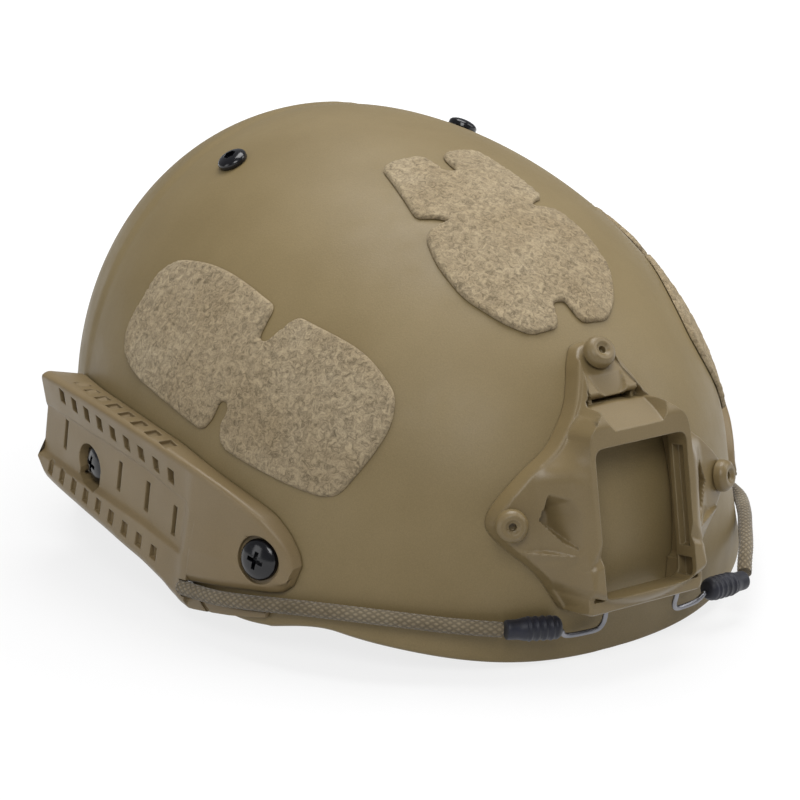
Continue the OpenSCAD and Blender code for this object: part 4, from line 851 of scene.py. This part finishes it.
def rail(side):
    flip = side == "right"

    def place(rings):
        return mirrored(rings) if flip else rings

    stations = np.r_[np.arange(50, -43, -1.5), -43.4, -43.6, np.arange(-45, -81, -1.2), -81.5]
    ob = ring_body(side + "_rail_form", place(np.array([rail_ring(y) for y in stations])))
    carve(ob, [ring_body("lip", place(inner_lip()))], "UNION")
    hollow = ring_body("hollow", place(rail_hollow()))
    rear_turn, front_turn = on_axis(back_out), on_axis(front_out)
    carve(hollow, [cutter([prism(disc(17.6), -15, 15, rear_turn, back_at)], flip)])
    outwards = np.array([[0.0, 0, -1], [0, 1, 0], [1, 0, 0]])
    arch = [[6.5 * math.cos(a), 6.5 * math.sin(a)] for a in np.linspace(-math.pi / 2, math.pi / 2, 25)]
    window = prism(arch + [[-7, 6.5], [-7, -6.5]], 0, 9.6, outwards, [nose_x(18) - 1, 18, -8.2])
    start = np.array(cord_start[0])
    step = unit(np.array(cord_start[1]) - start)
    cord_hole = prism(disc(6), 0, 4.2, on_axis(step), start - step * SEAT)
    groove = box_mesh([0, 0, 5], [2, 2, 10], on_axis([-0.9, -5, -2.9]), [104, -48.5, -20.6])
    cuts = [cutter(rail_holes(), flip), hollow]
    for shape in (window, prism(disc(SCREW_BORE), 0, 20, rear_turn, back_at),
                  prism(disc(REAR_SEAT_D), SEAT_DEPTH, SEAT_DEPTH + 8, rear_turn, back_at),
                  prism(disc(SCREW_BORE), 0, 20, front_turn, front_at),
                  prism(disc(FRONT_SEAT_D, 96), SEAT_DEPTH, SEAT_DEPTH + 20, front_turn, front_at),
                  pocket(), cord_hole, groove):
        cuts.append(cutter([shape], flip))
    carve(ob, cuts)
    crisp(ob, 26)
    finish_piece(ob, RAIL, "rail_plastic", side + "_rail")


rail("right")
rail("left")

# Plates cut to an outline


def resample(poly, step):
    poly = np.asarray(poly, float)
    out = []
    for a, b in zip(poly, np.roll(poly, -1, axis=0)):
        m = max(1, int(np.linalg.norm(b - a) / step))
        out += [mix(a, b, k / m) for k in range(m)]
    return np.array(out)


def cut_line(corners):
    """The outline of a cut piece. The third value of a corner is the size of its curve."""
    corners = np.asarray(corners, float)
    return rounded(corners[:, :2], corners[:, 2], 6, 0.48)


def both_halves(half):
    return half + [[-a, b, r] for a, b, r in half[::-1]]


def to_edge(points, poly):
    best = np.full(len(points), 1e9)
    for a, b in zip(poly, np.roll(poly, -1, axis=0)):
        ab = b - a
        t = np.clip(((points - a) @ ab) / max(ab @ ab, 1e-9), 0, 1)
        best = np.minimum(best, np.linalg.norm(points - (a + t[:, None] * ab), axis=1))
    return best


def inside(points, poly):
    x, y = points[:, 0], points[:, 1]
    hit = np.zeros(len(points), bool)
    for a, b in zip(poly, np.roll(poly, -1, axis=0)):
        cross = (a[1] > y) != (b[1] > y)
        with np.errstate(divide="ignore", invalid="ignore"):
            hit ^= cross & (x < (b[0] - a[0]) * (y - a[1]) / (b[1] - a[1]) + a[0])
    return hit


def even_points(edge_line, step, jitter, seed):
    lo, hi = edge_line.min(0), edge_line.max(0)
    gx, gy = np.meshgrid(np.arange(lo[0], hi[0], step), np.arange(lo[1], hi[1], step))
    pts = np.stack([gx.ravel(), gy.ravel()], 1)
    return pts + np.random.default_rng(seed).uniform(-jitter, jitter, pts.shape) * step


def plate_mesh(edge_line, step, pts):
    """Points and triangles that fill an outline."""
    pts = pts[inside(pts, edge_line)]
    pts = pts[to_edge(pts, edge_line) > step * 0.55]
    ring = len(edge_line)
    edges = [(k, (k + 1) % ring) for k in range(ring)]
    everything = [Vector(p) for p in np.concatenate([edge_line, pts])]
    v2, _, tris, _, _, _ = delaunay_2d_cdt(everything, edges, [list(range(ring))], 1, 1e-5)
    return np.array([[v.x, v.y] for v in v2]), [list(t) for t in tris]


def plate_body(name, top, bottom, tris):
    """A closed body between two sheets of points, with a wall along their edge."""
    m = len(top)
    faces = tris + [[k + m for k in reversed(t)] for t in tris]
    lone = {}
    for t in tris:
        for a, b in zip(t, t[1:] + t[:1]):
            key = (min(a, b), max(a, b))
            lone[key] = None if key in lone else (a, b)
    faces = faces + [[b, a, a + m, b + m] for a, b in (v for v in lone.values() if v)]
    return new_object(name, np.concatenate([top, bottom]), faces)


# Shroud: a moulded plate, described over the plane of its leaning face by x and by height v along the face

LEAN = math.radians(23.2)
FACE_Z = 61.5
FACE_UP = np.array([0, math.sin(LEAN), math.cos(LEAN)])
FACE_OUT = np.array([0, -math.cos(LEAN), math.sin(LEAN)])
FACE_AT = np.array([0, float(skin_y(0.0, FACE_Z, -1)) - 19, FACE_Z])
LOBE_SCREW = (38.8, -23.3)
TOP_SCREW = (0.0, 20.2)
SCREW_SEAT_R = 6.0
SEAT_UP = 6.3
EDGE_ROUND = 0.9
BAR_TOP = 4.6
SLIT_LOW, SLIT_TOP, TAB_TOP = 11.4, 13.1, 15.2


def on_face(x, v, w):
    axes = zip((x, v, w), (np.array([1.0, 0, 0]), FACE_UP, FACE_OUT))
    return FACE_AT + sum(np.asarray(value)[..., None] * axis for value, axis in axes)


def shell_under(x, v):
    """How far behind the face the shell lies, and the share of its normal along the face's own."""
    lo, hi = np.full(np.shape(x), -60.0), np.full(np.shape(x), 12.0)
    for _ in range(32):
        w = (lo + hi) / 2
        q = on_face(x, v, w)
        out = (wall_f(np.where(q[..., 2:3] < CROWN, q, q * 0 + 1)) > 1) | (q[..., 2] >= CROWN)
        lo, hi = np.where(out, lo, w), np.where(out, w, hi)
    return w, np.clip(outward(on_face(x, v, w)) @ FACE_OUT, 0.3, 1)


def line_side(x, v, a, b):
    """Distance to the line from a to b, positive on its left."""
    d = unit(np.subtract(b, a))
    return d[0] * (v - a[1]) - d[1] * (x - a[0])


def soft_max(a, b, r):
    h = np.clip(0.5 + 0.5 * (a - b) / r, 0, 1)
    return mix(b, a, h) + r * h * (1 - h)


def soft_min(a, b, r):
    return -soft_max(-a, -b, r)


flange = [[8.2, 23.4], [10, 19.6], [11.5, 16.8], [13.6, 12.8], [16.3, 9], [19.5, 5.3], [24.1, 0], [33.4, -6],
          [41.7, -13.4]]
foot = [[40.2, -29.8], [31.6, -38.6], [27.5, -45.4]]
shroud_half = [[4.2, 28.8, 3]] + [[*p, r] for p, r in zip(flange, (3, 2, 2, 2, 2, 3, 4, 4, 5))]
shroud_half += [[45.3, -18.6, 4], [45.2, -23.4, 4]] + [[*p, r] for p, r in zip(foot, (5, 5, 4))]
shroud_half += [[24, -51.4, 2.5], [21.6, -52.8, 1.5]]
crest_x = curve([[-53, 20.5], [-47, 22], [-38, 20.6], [-30, 19.6], [-14, 20.2], [0, 19.8], [4, 19], [8, 15.6],
                 [10, 13], [13.4, 10.2], [18.9, 7.6], [24.5, 5.4], [30, 4.5]])
crest_w = curve([[-53, -0.5], [-50, 0], [6, 0], [9.2, -1.3], [13.4, -4.9], [18.9, -11], [24.5, -17.5],
                 [30, -21]])
pocket_x = curve([[4, 9.2], [8, 10.6], [11.2, 10.8], [15, 9.6], [20.4, 7.4], [26, 6.2]])
edge_x = curve(sorted([v, x] for x, v in [[4, 29]] + flange + [[45.3, -21]] + foot + [[22.6, -52.8]]))
# Sides of the diamond pocket, each with the steepness of its wall
diamond = [([29.8, -12.6], [33.0, -20.6], 4.5), ([33.0, -20.6], [27.2, -28.8], 4.5),
           ([27.2, -28.8], [23.6, -31.2], 2.0), ([23.6, -31.2], [23.0, -19.8], 1.5),
           ([23.0, -19.8], [24.8, -15.0], 1.5), ([24.8, -15.0], [29.8, -12.6], 1.7)]


def cheeks_and_lobes(ax, v, plate):
    """The swept form from the crest beside the window out to the flat flange."""
    r, top, out = crest_x(v), crest_w(v), edge_x(v)
    t = np.clip((ax - r) / np.maximum(out - 1.6 - r, 0.6), 0, 1)
    upper = mix(top, plate, 1 - (1 - t) ** 1.9)
    shoulder = top - 4.0 * np.clip((ax - r) / 4.6, 0, 1) ** 1.5
    lobe = mix(shoulder, plate, 1 - (1 - np.clip((ax - 24.6) / 8.6, 0, 1)) ** 1.7)
    web = mix(shoulder, plate, np.clip((ax - 22.5) / np.maximum(out - 23.5, 1), 0, 1) ** 0.8)
    return mix(mix(lobe, web, smooth((-31 - v) / 5)), upper, smooth((v + 11) / 8))


def tab_pocket(ax, v, base):
    """The pocket between the cheeks, with the tab under the top screw and the slit below it."""
    tab = mix(-11.2, -22.0, (v - 14.3) / 12.3)
    tab = np.where(v < TAB_TOP, tab - 0.9 * (TAB_TOP - v) ** 1.6, tab)
    floor = np.where(v < SLIT_LOW, -(v - BAR_TOP) * 1.75, -11.9)
    deep = np.where(v > SLIT_TOP, tab, np.where(v > SLIT_LOW, -13.6, floor))
    deep = np.where((ax > 9.3) & (v > 11.2), deep - 1.6, deep)
    return np.maximum(deep, base + 1.4) + np.maximum((ax - pocket_x(v)) * 4.5, 0)


def shroud_front(x, v):
    """How far the shroud's front stands out at x and v, 0 being the plane of its face."""
    ax = np.abs(x)
    base, lean = shell_under(x, v)
    plate = base + SEAT_UP / lean
    w = cheeks_and_lobes(ax, v, plate)
    # Raised crease that runs from the lobe up to the column
    aside = line_side(ax, v, [24, -33.0], [38.5, -30.0])
    crease = -3.7 - 0.6 * (ax - 24) - np.where(aside > 0, 2.4, 0.7) * np.abs(aside)
    crease = crease - 2.0 * np.maximum(0, 24 - ax) - 1.2 * np.maximum(0, ax - 38)
    w = np.where((v < -20) & (v > -46), soft_max(w, crease, 0.5), w)
    depth = np.full(np.shape(x), 12.0)
    for a, b, steep in diamond:
        depth = np.minimum(depth, steep * -line_side(ax, v, a, b))
    w = np.maximum(w - np.maximum(depth, 0), np.minimum(w, base + 1.7))
    # Chamfer low on the column's inner side, and the crescent along the foot of the bar
    fall = np.minimum(line_side(ax, v, [24.6, -38.2], [18.0, -29.5]), 36.9 + v + 0.25 * (ax - 18))
    w = w - 0.55 * np.clip(fall, 0, 3.0) * (ax < 25) * (ax > 17.5)
    w = w - 3.2 * np.clip((-48.6 + 0.010 * ax ** 2 - v) / 3.2, 0, 1) ** 1.5
    w = np.where(v > BAR_TOP, soft_min(w, tab_pocket(ax, v, base), 0.5), w)
    # Flat seats under the three screw heads
    for (sx, sv), squash in ((LOBE_SCREW, 1.0), (TOP_SCREW, 0.8)):
        w = np.minimum(w, plate + np.maximum(np.hypot(ax - sx, (v - sv) * squash) - SCREW_SEAT_R, 0) * 2.2)
    return np.minimum(w, 0.0)


def shroud_points():
    """Rows of points that follow the pocket, the crest and the edge."""
    rows = []
    for v in np.concatenate([np.arange(-53.2, 3, 0.5), np.arange(3, 29, 0.25)]):
        pocket_side, crest, out = float(pocket_x(v)), float(crest_x(v)), float(edge_x(v))
        marks, counts = [0.0, pocket_side, pocket_side + 2.4, crest, out], [16, 8, 8, 30]
        if v < 3:
            marks, counts = [0.0, WINDOW_HALF - 0.6, crest, out], [14, 8, 44]
        for a, b, n in zip(marks, marks[1:], counts):
            if b > a + 0.05:
                x = np.linspace(a, b, n, endpoint=False)
                rows.append(np.stack([x, 0 * x + v], 1))
    half = np.concatenate(rows)
    return np.concatenate([half, half[half[:, 0] > 0] * [-1, 1]])


def on_plane(x0, x1, v0, v1, r, w0, w1):
    """A cutter with upright sides: a rounded rectangle over the shroud's face, from depth w0 to w1."""
    corners = cut_line([[x0, v0, r], [x1, v0, r], [x1, v1, r], [x0, v1, r]])
    return cutter([prism(corners, w0, w1, np.stack([[1.0, 0, 0], FACE_UP, FACE_OUT], 1), FACE_AT)])


WINDOW_HALF = 18
SCREW_HOLE = 4.5
line = resample(cut_line(both_halves(shroud_half)), 0.6)
flat, tris = plate_mesh(line, 0.4, shroud_points())
x, v = flat[:, 0], flat[:, 1]
under, lean = shell_under(x, v)
inwards = np.clip(to_edge(flat, line) / EDGE_ROUND, 0, 1)
front = shroud_front(x, v) - EDGE_ROUND * (1 - np.sqrt(np.clip(1 - (1 - inwards) ** 2, 0, 1)))
back = under + SEAT / lean
ob = plate_body("shroud_form", on_face(x, v, np.maximum(front, back + 1.0)), on_face(x, v, back), tris)
cuts = [on_plane(-WINDOW_HALF, WINDOW_HALF, -48, 0, 3.4, -45, 3),
        on_plane(-20.6, 20.6, -43, 1.2, 2, -45, -9.6), on_plane(-18.6, 18.6, -80, -40, 0.5, -45, -9.8)]
for side, screw_z in ((1, 34.2), (-1, 34.2), (0, 72.5)):
    if side:
        cuts.append(on_plane(*sorted((side * 17.5, side * 20.4)), -38, -5, 1.2, -7.6, -2.6))
        cuts.append(on_plane(*sorted((side * 17.2, side * 20.8)), -48.6, -41.5, 0.6, -9, -2.2))
    at, out = surface_front(side * LOBE_SCREW[0], screw_z)
    cuts.append(cutter([prism(disc(SCREW_HOLE), -3, 20, on_axis(out), at)]))
cuts.append(on_plane(-7.6, 5.4, 11.6, 12.9, 0.3, -19, -9))
cuts.append(on_plane(5.0, 7.8, 11.2, 13.6, 0.3, -20.5, -9))
carve(ob, cuts)
crisp(ob, 34)
finish_piece(ob, SHROUD, "shroud_plastic", "shroud")

# Other rigid pieces

for mat, slot, body, names in (
        (BLACK_METAL, "black_metal", "root", ("rail_screws", "crown_bolts")),
        (SHROUD, "shroud_plastic", "root", ("shroud_screws",)),
        (STEEL, "steel", "root", ("rail_nuts", "shroud_nuts", "crown_nuts")),
        (BLACK_PLASTIC, "black_plastic", "root", (
            "right_band_arm", "left_band_arm", "dial_housing", "dial_cover", "strap_sliders", "buckle_socket",
            "buckle_plug")),
        (BLACK_PLASTIC, "black_plastic", "right_rack", ("right_rack",)),
        (BLACK_PLASTIC, "black_plastic", "left_rack", ("left_rack",)),
        (PINION_PLASTIC, "pinion_plastic", "dial", ("dial_pinion",)),
        (BLACK_PLASTIC, "black_plastic", "dial", ("dial_knob",)),
        (STEEL, "steel", "dial", ("knob_screw",))):
    for name in names:
        dressed(name, mat, slot, body)

# Loop patches

PATCH_T = 1.5


def patch(name, outline, place, node, seed, step=0.62):
    """A die-cut piece of loop fabric: flat back on the shell, rounded edge, uneven pile."""
    edge_line = resample(cut_line(outline), step)
    p2, tris = plate_mesh(edge_line, step, even_points(edge_line, step, 0.25, seed))
    d = to_edge(p2, edge_line)
    profile = PATCH_T * np.sqrt(np.clip(1 - (1 - np.clip(d / 0.6, 0, 1)) ** 2, 0.0, 1))
    base = place(p2, np.zeros(len(p2)))
    pile = 0.26 * lattice(base, 1.15, seed) + 0.14 * lattice(base, 3.2, seed + 1)
    top = place(p2, SEAT + 0.35 + np.maximum(profile - 0.35, 0) + pile * np.clip(d / 0.8, 0.1, 1) - 0.12)
    bottom = place(p2, np.full(len(p2), SEAT))
    finish_piece(plate_body(name, top, bottom, tris), PILE, "loop_fabric", node)


def off_shell(p, off):
    return p + outward(p) * (off + raised(p))[:, None]


def on_left(p2, off):
    y, z = p2.T
    return off_shell(np.stack([skin_x(y, z), y, z], -1), off)


def on_right(p2, off):
    return mirrored(on_left(p2, off))


def on_top(p2, off):
    x, y = p2.T
    return off_shell(np.stack([x, y, top_z(x, y)], -1), off)


def on_rear(p2, off):
    x, z = p2.T
    return off_shell(np.stack([x, skin_y(x, z, 1), z], -1), off)


# Corners of each cut outline, with the size of the curve at each; on the sides y and z, on top x and y
side_outline = [
    [26.5, 57, 4], [22, 63, 4], [10.5, 67.3, 6], [-1, 69.5, 6], [-13, 70, 4], [-27.6, 69.4, 2.6],
    [-31.2, 60.4, 2.2], [-34.8, 61, 2.2], [-36.8, 70, 2.6], [-52, 69.9, 6], [-61.5, 69, 5], [-70, 66.4, 5],
    [-79.5, 61.6, 4], [-84.3, 54, 5], [-85.2, 46.5, 6], [-84.4, 38.5, 6], [-82.6, 31, 4], [-78.4, 29, 4],
    [-69.4, 28.4, 6], [-59, 28.5, 6], [-50, 28.5, 6], [-41, 28.8, 3], [-37.2, 32.5, 3], [-36, 41.4, 2],
    [-32, 41.2, 2], [-32.4, 34.5, 2], [-30.6, 29.9, 3], [-25.8, 29.7, 4], [-14.5, 30, 6], [-2, 29.6, 6],
    [9.5, 29.1, 6], [21.5, 31.7, 5], [25.8, 38, 5], [26.2, 46, 6]]
patch("left_side_loop", side_outline, on_left, "left_side_patch", 11)
patch("right_side_loop", side_outline, on_right, "right_side_patch", 12)
top_half = [[2.4, -13.6, 1.6], [2.6, -6, 3], [4.6, -1.4, 2.4], [14, 0.4, 4], [20, -2, 2.6], [25.4, -31.8, 3],
            [19.5, -34.8, 2], [16.8, -37.8, 0.7], [24.6, -38.6, 2.4], [27.8, -42, 2.4], [30.4, -53, 6],
            [29.2, -67.7, 5], [22.2, -80, 4], [15.2, -86.7, 3], [5.4, -87, 2], [3.6, -84.4, 2],
            [2.4, -78.8, 1.8]]
patch("top_loop", both_halves(top_half), on_top, "top_patch", 13)
rear_half = [[30, 10, 3], [36, 14, 3], [38, 20, 3], [35, 42, 3], [29, 47, 3], [4.5, 47, 2], [2, 40, 1.8]]
patch("rear_loop", both_halves(rear_half), on_rear, "rear_patch", 14)

# Comfort pads


def pad_profile(fu, fh):
    return (np.maximum(0, 1 - np.abs(2 * fu - 1) ** 4) * np.maximum(0, 1 - np.abs(2 * fh - 1) ** 4)) ** 0.32


PAD_T = 14.6


def wall_pad(name, u0, u1, h0, h1, node, seed, sign=1.0):
    nu, nh = 72, 52
    fu = mix(0.02, 0.98, np.linspace(0, 1, nu))[:, None] + np.zeros((1, nh))
    fh = mix(0.02, 0.98, np.linspace(0, 1, nh))[None, :] + np.zeros((nu, 1))
    uu, hh = mix(u0, u1, fu), mix(h0, h1, fh)
    base = skin(uu, hh, -PAD_GAP)
    depth = PAD_T * pad_profile(fu, fh)
    depth = depth + 0.5 * lattice(base, 13, seed) * np.clip(depth / 6, 0, 1)
    channel = 0.8 * np.exp(-((fu - 0.5) * (nu * 0.09)) ** 2)
    face = skin(uu, hh, -PAD_GAP - np.maximum(depth - channel, 0.05))
    rim = np.minimum(np.minimum(fu, 1 - fu), np.minimum(fh, 1 - fh))
    seam = 0.35 * np.exp(-((rim - 0.035) / 0.012) ** 2)
    face = face + outward(bare(uu, hh)) * seam[..., None] * 0.6
    rings = np.concatenate([face, base[:, ::-1]], axis=1) * np.array([sign, 1, 1])
    ob = ring_body(name, rings)
    finish_piece(ob, KNIT, "foam", node)


wall_pad("front_cushion", -34, 34, -9, 26, "front_pad", 21)
wall_pad("rear_cushion", 152, 208, -6, 46, "rear_pad", 22)
wall_pad("left_side_cushion", 70, 108, 12, 56, "left_side_pad", 23)
wall_pad("right_side_cushion", 70, 108, 12, 56, "right_side_pad", 24, -1.0)

PAD_RIM = 64
PAD_TOP = 88
pad_u = np.linspace(-180, 180, 144, endpoint=False)


def crown_ring(a):
    return skin(pad_u, CROWN * math.sin(math.radians(a)), -PAD_GAP)


outer = [crown_ring(a) for a in np.linspace(PAD_TOP, PAD_RIM, 26)]
inner = []
for a in np.linspace(PAD_RIM, PAD_TOP, 26):
    f = (a - PAD_RIM) / 26
    p = crown_ring(a)
    drop = PAD_T * math.sin(math.radians(90 * min(1, f * 2 + 0.02))) ** 0.5
    petal = 0.7 * np.exp(-((np.abs((pad_u % 60) - 30) - 30) / 3.0) ** 2)
    wave = 0.5 * lattice(p, 14, 25)
    inner.append(p - np.array([0, 0, 1.0]) * (drop - (petal - wave) * min(1, f * 4))[:, None])
ob = ring_body("crown_cushion", outer + inner)
finish_piece(ob, KNIT, "foam", "crown_pad")

# Webbing


def web(name, stations, w, thick, node, sign, mat=WEBBING, slot="webbing"):
    """A strap through stations of angle, height and depth inside the shell's outer face."""
    s = along(stations, 24)
    mid = skin(s[:, 0], s[:, 1], -s[:, 2])
    n = outward(bare(s[:, 0], s[:, 1]))
    d = unit(np.cross(n, unit(np.gradient(mid, axis=0))))
    across = np.linspace(-1, 1, 18)
    rib = 0.05 * np.cos(across * 5 * math.pi)
    half = thick / 2 * np.sqrt(np.clip(1 - np.abs(across) ** 8, 0.05, 1)) + rib * 0.5 - 0.03
    upper, lower = ([mid + d * w / 2 * a + n * h * face for a, h in zip(across, half)] for face in (1, -1))
    ob = ring_body(name, np.stack(upper + lower[::-1], axis=1) * np.array([sign, 1, 1]))
    length = np.r_[0, np.cumsum(np.linalg.norm(np.diff(mid, axis=0), axis=1))]
    threads_on(ob, length / 1.1, np.concatenate([across, across[::-1]]) * w / 2 / 0.9)
    return finish_piece(ob, mat, slot, node)


def angle_at(y, z):
    x, n = skin_x(y, z), level_n(y, z)
    return math.degrees(math.atan2((x / half_x(z)) ** (n / 2), -spow(y / half_y(z, y), n / 2)))


STRAP_W = 15
STRAP_T = 1.5
strap_depth = WALL + SEAT + 0.5 + STRAP_T / 2
front_u, back_u, crown_u = angle_at(-68.9, 3.3), angle_at(18.0, -8.2), angle_at(46.0, 83.6)
hanger_depth = WALL + SEAT + 1.0 + 0.8
chin_depth = strap_depth + 1 + STRAP_T + 2 * SEAT + 2.2


def chin_z(a):
    return mix(-19, -47, (a - 87) / 52)


for side, sign in (("left", 1.0), ("right", -1.0)):
    front_run = [[front_u - 5, 8.3, strap_depth], [front_u, 3.3, strap_depth], [75, -12, strap_depth + 0.3],
                 [83.5, -19, strap_depth + 1]]
    rear_run = [[back_u + 5, -6.2, strap_depth], [back_u, -8.2, strap_depth], [91, -19, strap_depth + 1]]
    chin_run = [[a, chin_z(a), chin_depth] for a in (84, 100, 113, 126, 139)]
    for part, run in (("front", front_run), ("rear", rear_run), ("chin", chin_run)):
        web(f"{side}_{part}_web", run, STRAP_W, STRAP_T, f"{side}_{part}_strap", sign)
    hanger = [[crown_u - 1, 87.6, 0], [crown_u, 83.6, 0], [crown_u + 3, 72, 0], [crown_u + 5, 56, 0],
              [143, 30, 0], [146, 0, 0], [152, -22, 5], [160, -37, 14]]
    hanger = [[a, z, hanger_depth + more] for a, z, more in hanger]
    web(side + "_hanger_web", hanger, 14, 1.6, side + "_hanger", sign)
cup_run = [[a, chin_z(a), chin_depth + 2 + STRAP_T / 2 + SEAT] for a in (124, 131, 138)]
cup = web("chin_cup_pad", cup_run, 22, 4, "chin_cup", -1.0, KNIT, "foam")

# Nape pad, in the frame of the band

LIFT_B = math.radians(18)
BAND_R = 84.0


def band_point(r, a, z):
    """A point of the band's own frame, a degrees from the rear, in the helmet's frame."""
    a = np.radians(a)
    x, y = r * np.sin(a), r * np.cos(a)
    back, up = math.cos(LIFT_B), math.sin(LIFT_B)
    return np.stack([x, 91 + (y - BAND_R) * back + z * up, -49 - (y - BAND_R) * up + z * back], -1)


pad_out = BAND_R - 5.175
rings = []
for a in np.linspace(-25, 25, 90):
    end = max(0.0, 1 - (abs(a) / 25) ** 10) ** 0.5
    s = np.radians(np.linspace(-90, 90, 40))
    face_r = pad_out - 0.05 - 9.8 * np.clip(np.cos(s), 0, 1) ** 0.6 * max(end, 0.04)
    quilt = 0.5 * math.exp(-(((abs(a) - 8.5) / 0.8) ** 2))
    face = band_point(face_r + quilt * (np.abs(np.sin(s)) < 0.85), np.full(40, a), 15 * np.sin(s))
    back = band_point(np.full(20, pad_out), np.full(20, a), np.linspace(14.9, -14.9, 20))
    rings.append(np.concatenate([face, back]))
ob = ring_body("nape_cushion", rings)
finish_piece(ob, KNIT, "foam", "nape_pad")

# Floor, background and light

floor_me = bpy.data.meshes.new("floor")
bm = bmesh.new()
bmesh.ops.create_circle(bm, cap_ends=True, segments=96, radius=4.0)
bm.to_mesh(floor_me)
bm.free()
floor = to_scene("floor", floor_me)
floor.location.z = -0.0003
paper = Shader("floor_paper", Roughness=0.9, Specular_IOR_Level=0.1)
paper.put(paper.greys(paper.noise(3), 0.0, 0.5, 1.0, 0.53), paper.bsdf.inputs["Base Color"])
rays = paper.add("LightPath").outputs
seen = paper.math("MAXIMUM", rays["Is Camera Ray"], rays["Is Glossy Ray"])
share = paper.to_range(paper.vector_math("LENGTH", paper.coord), 0.66, 1.0, 0.16, 0.5)
paper.mix_shaders(paper.math("MULTIPLY", seen, share), paper.bsdf, paper.add("Emission", Strength=1.2),
                  "Material Output")
floor_me.materials.append(paper.mat)

world = bpy.data.worlds.new("studio")
bpy.context.scene.world = world
world.use_nodes = True
sky = Tree(world.node_tree)
dim = sky.nodes["Background"]
sky.put((0.93, 0.95, 1.0, 1), dim.inputs["Color"])
sky.put(0.3, dim.inputs["Strength"])
rays = sky.add("LightPath").outputs
seen = sky.math("MAXIMUM", rays["Is Camera Ray"], rays["Is Transmission Ray"])
sky.mix_shaders(seen, dim, sky.add("Background", Strength=1.0), "World Output")


for name, at, size, energy in (("top", (0.25, 0.15, 1.3), (0.9, 0.8), 13),
                               ("key", (-0.6, -0.9, 1.0), (0.6, 0.6), 7),
                               ("rim", (0.9, -0.5, 0.7), (0.5, 0.8), 4),
                               ("fill", (-1.3, 0.1, 0.4), (0.5, 0.7), 2)):
    data = bpy.data.lights.new(name, "AREA")
    data.shape = "RECTANGLE"
    data.size, data.size_y = size
    data.energy = energy
    ob = to_scene(name, data)
    ob.location = at
    ob.rotation_euler = (Vector((0, 0, 0.07)) - Vector(at)).to_track_quat("-Z", "Y").to_euler()
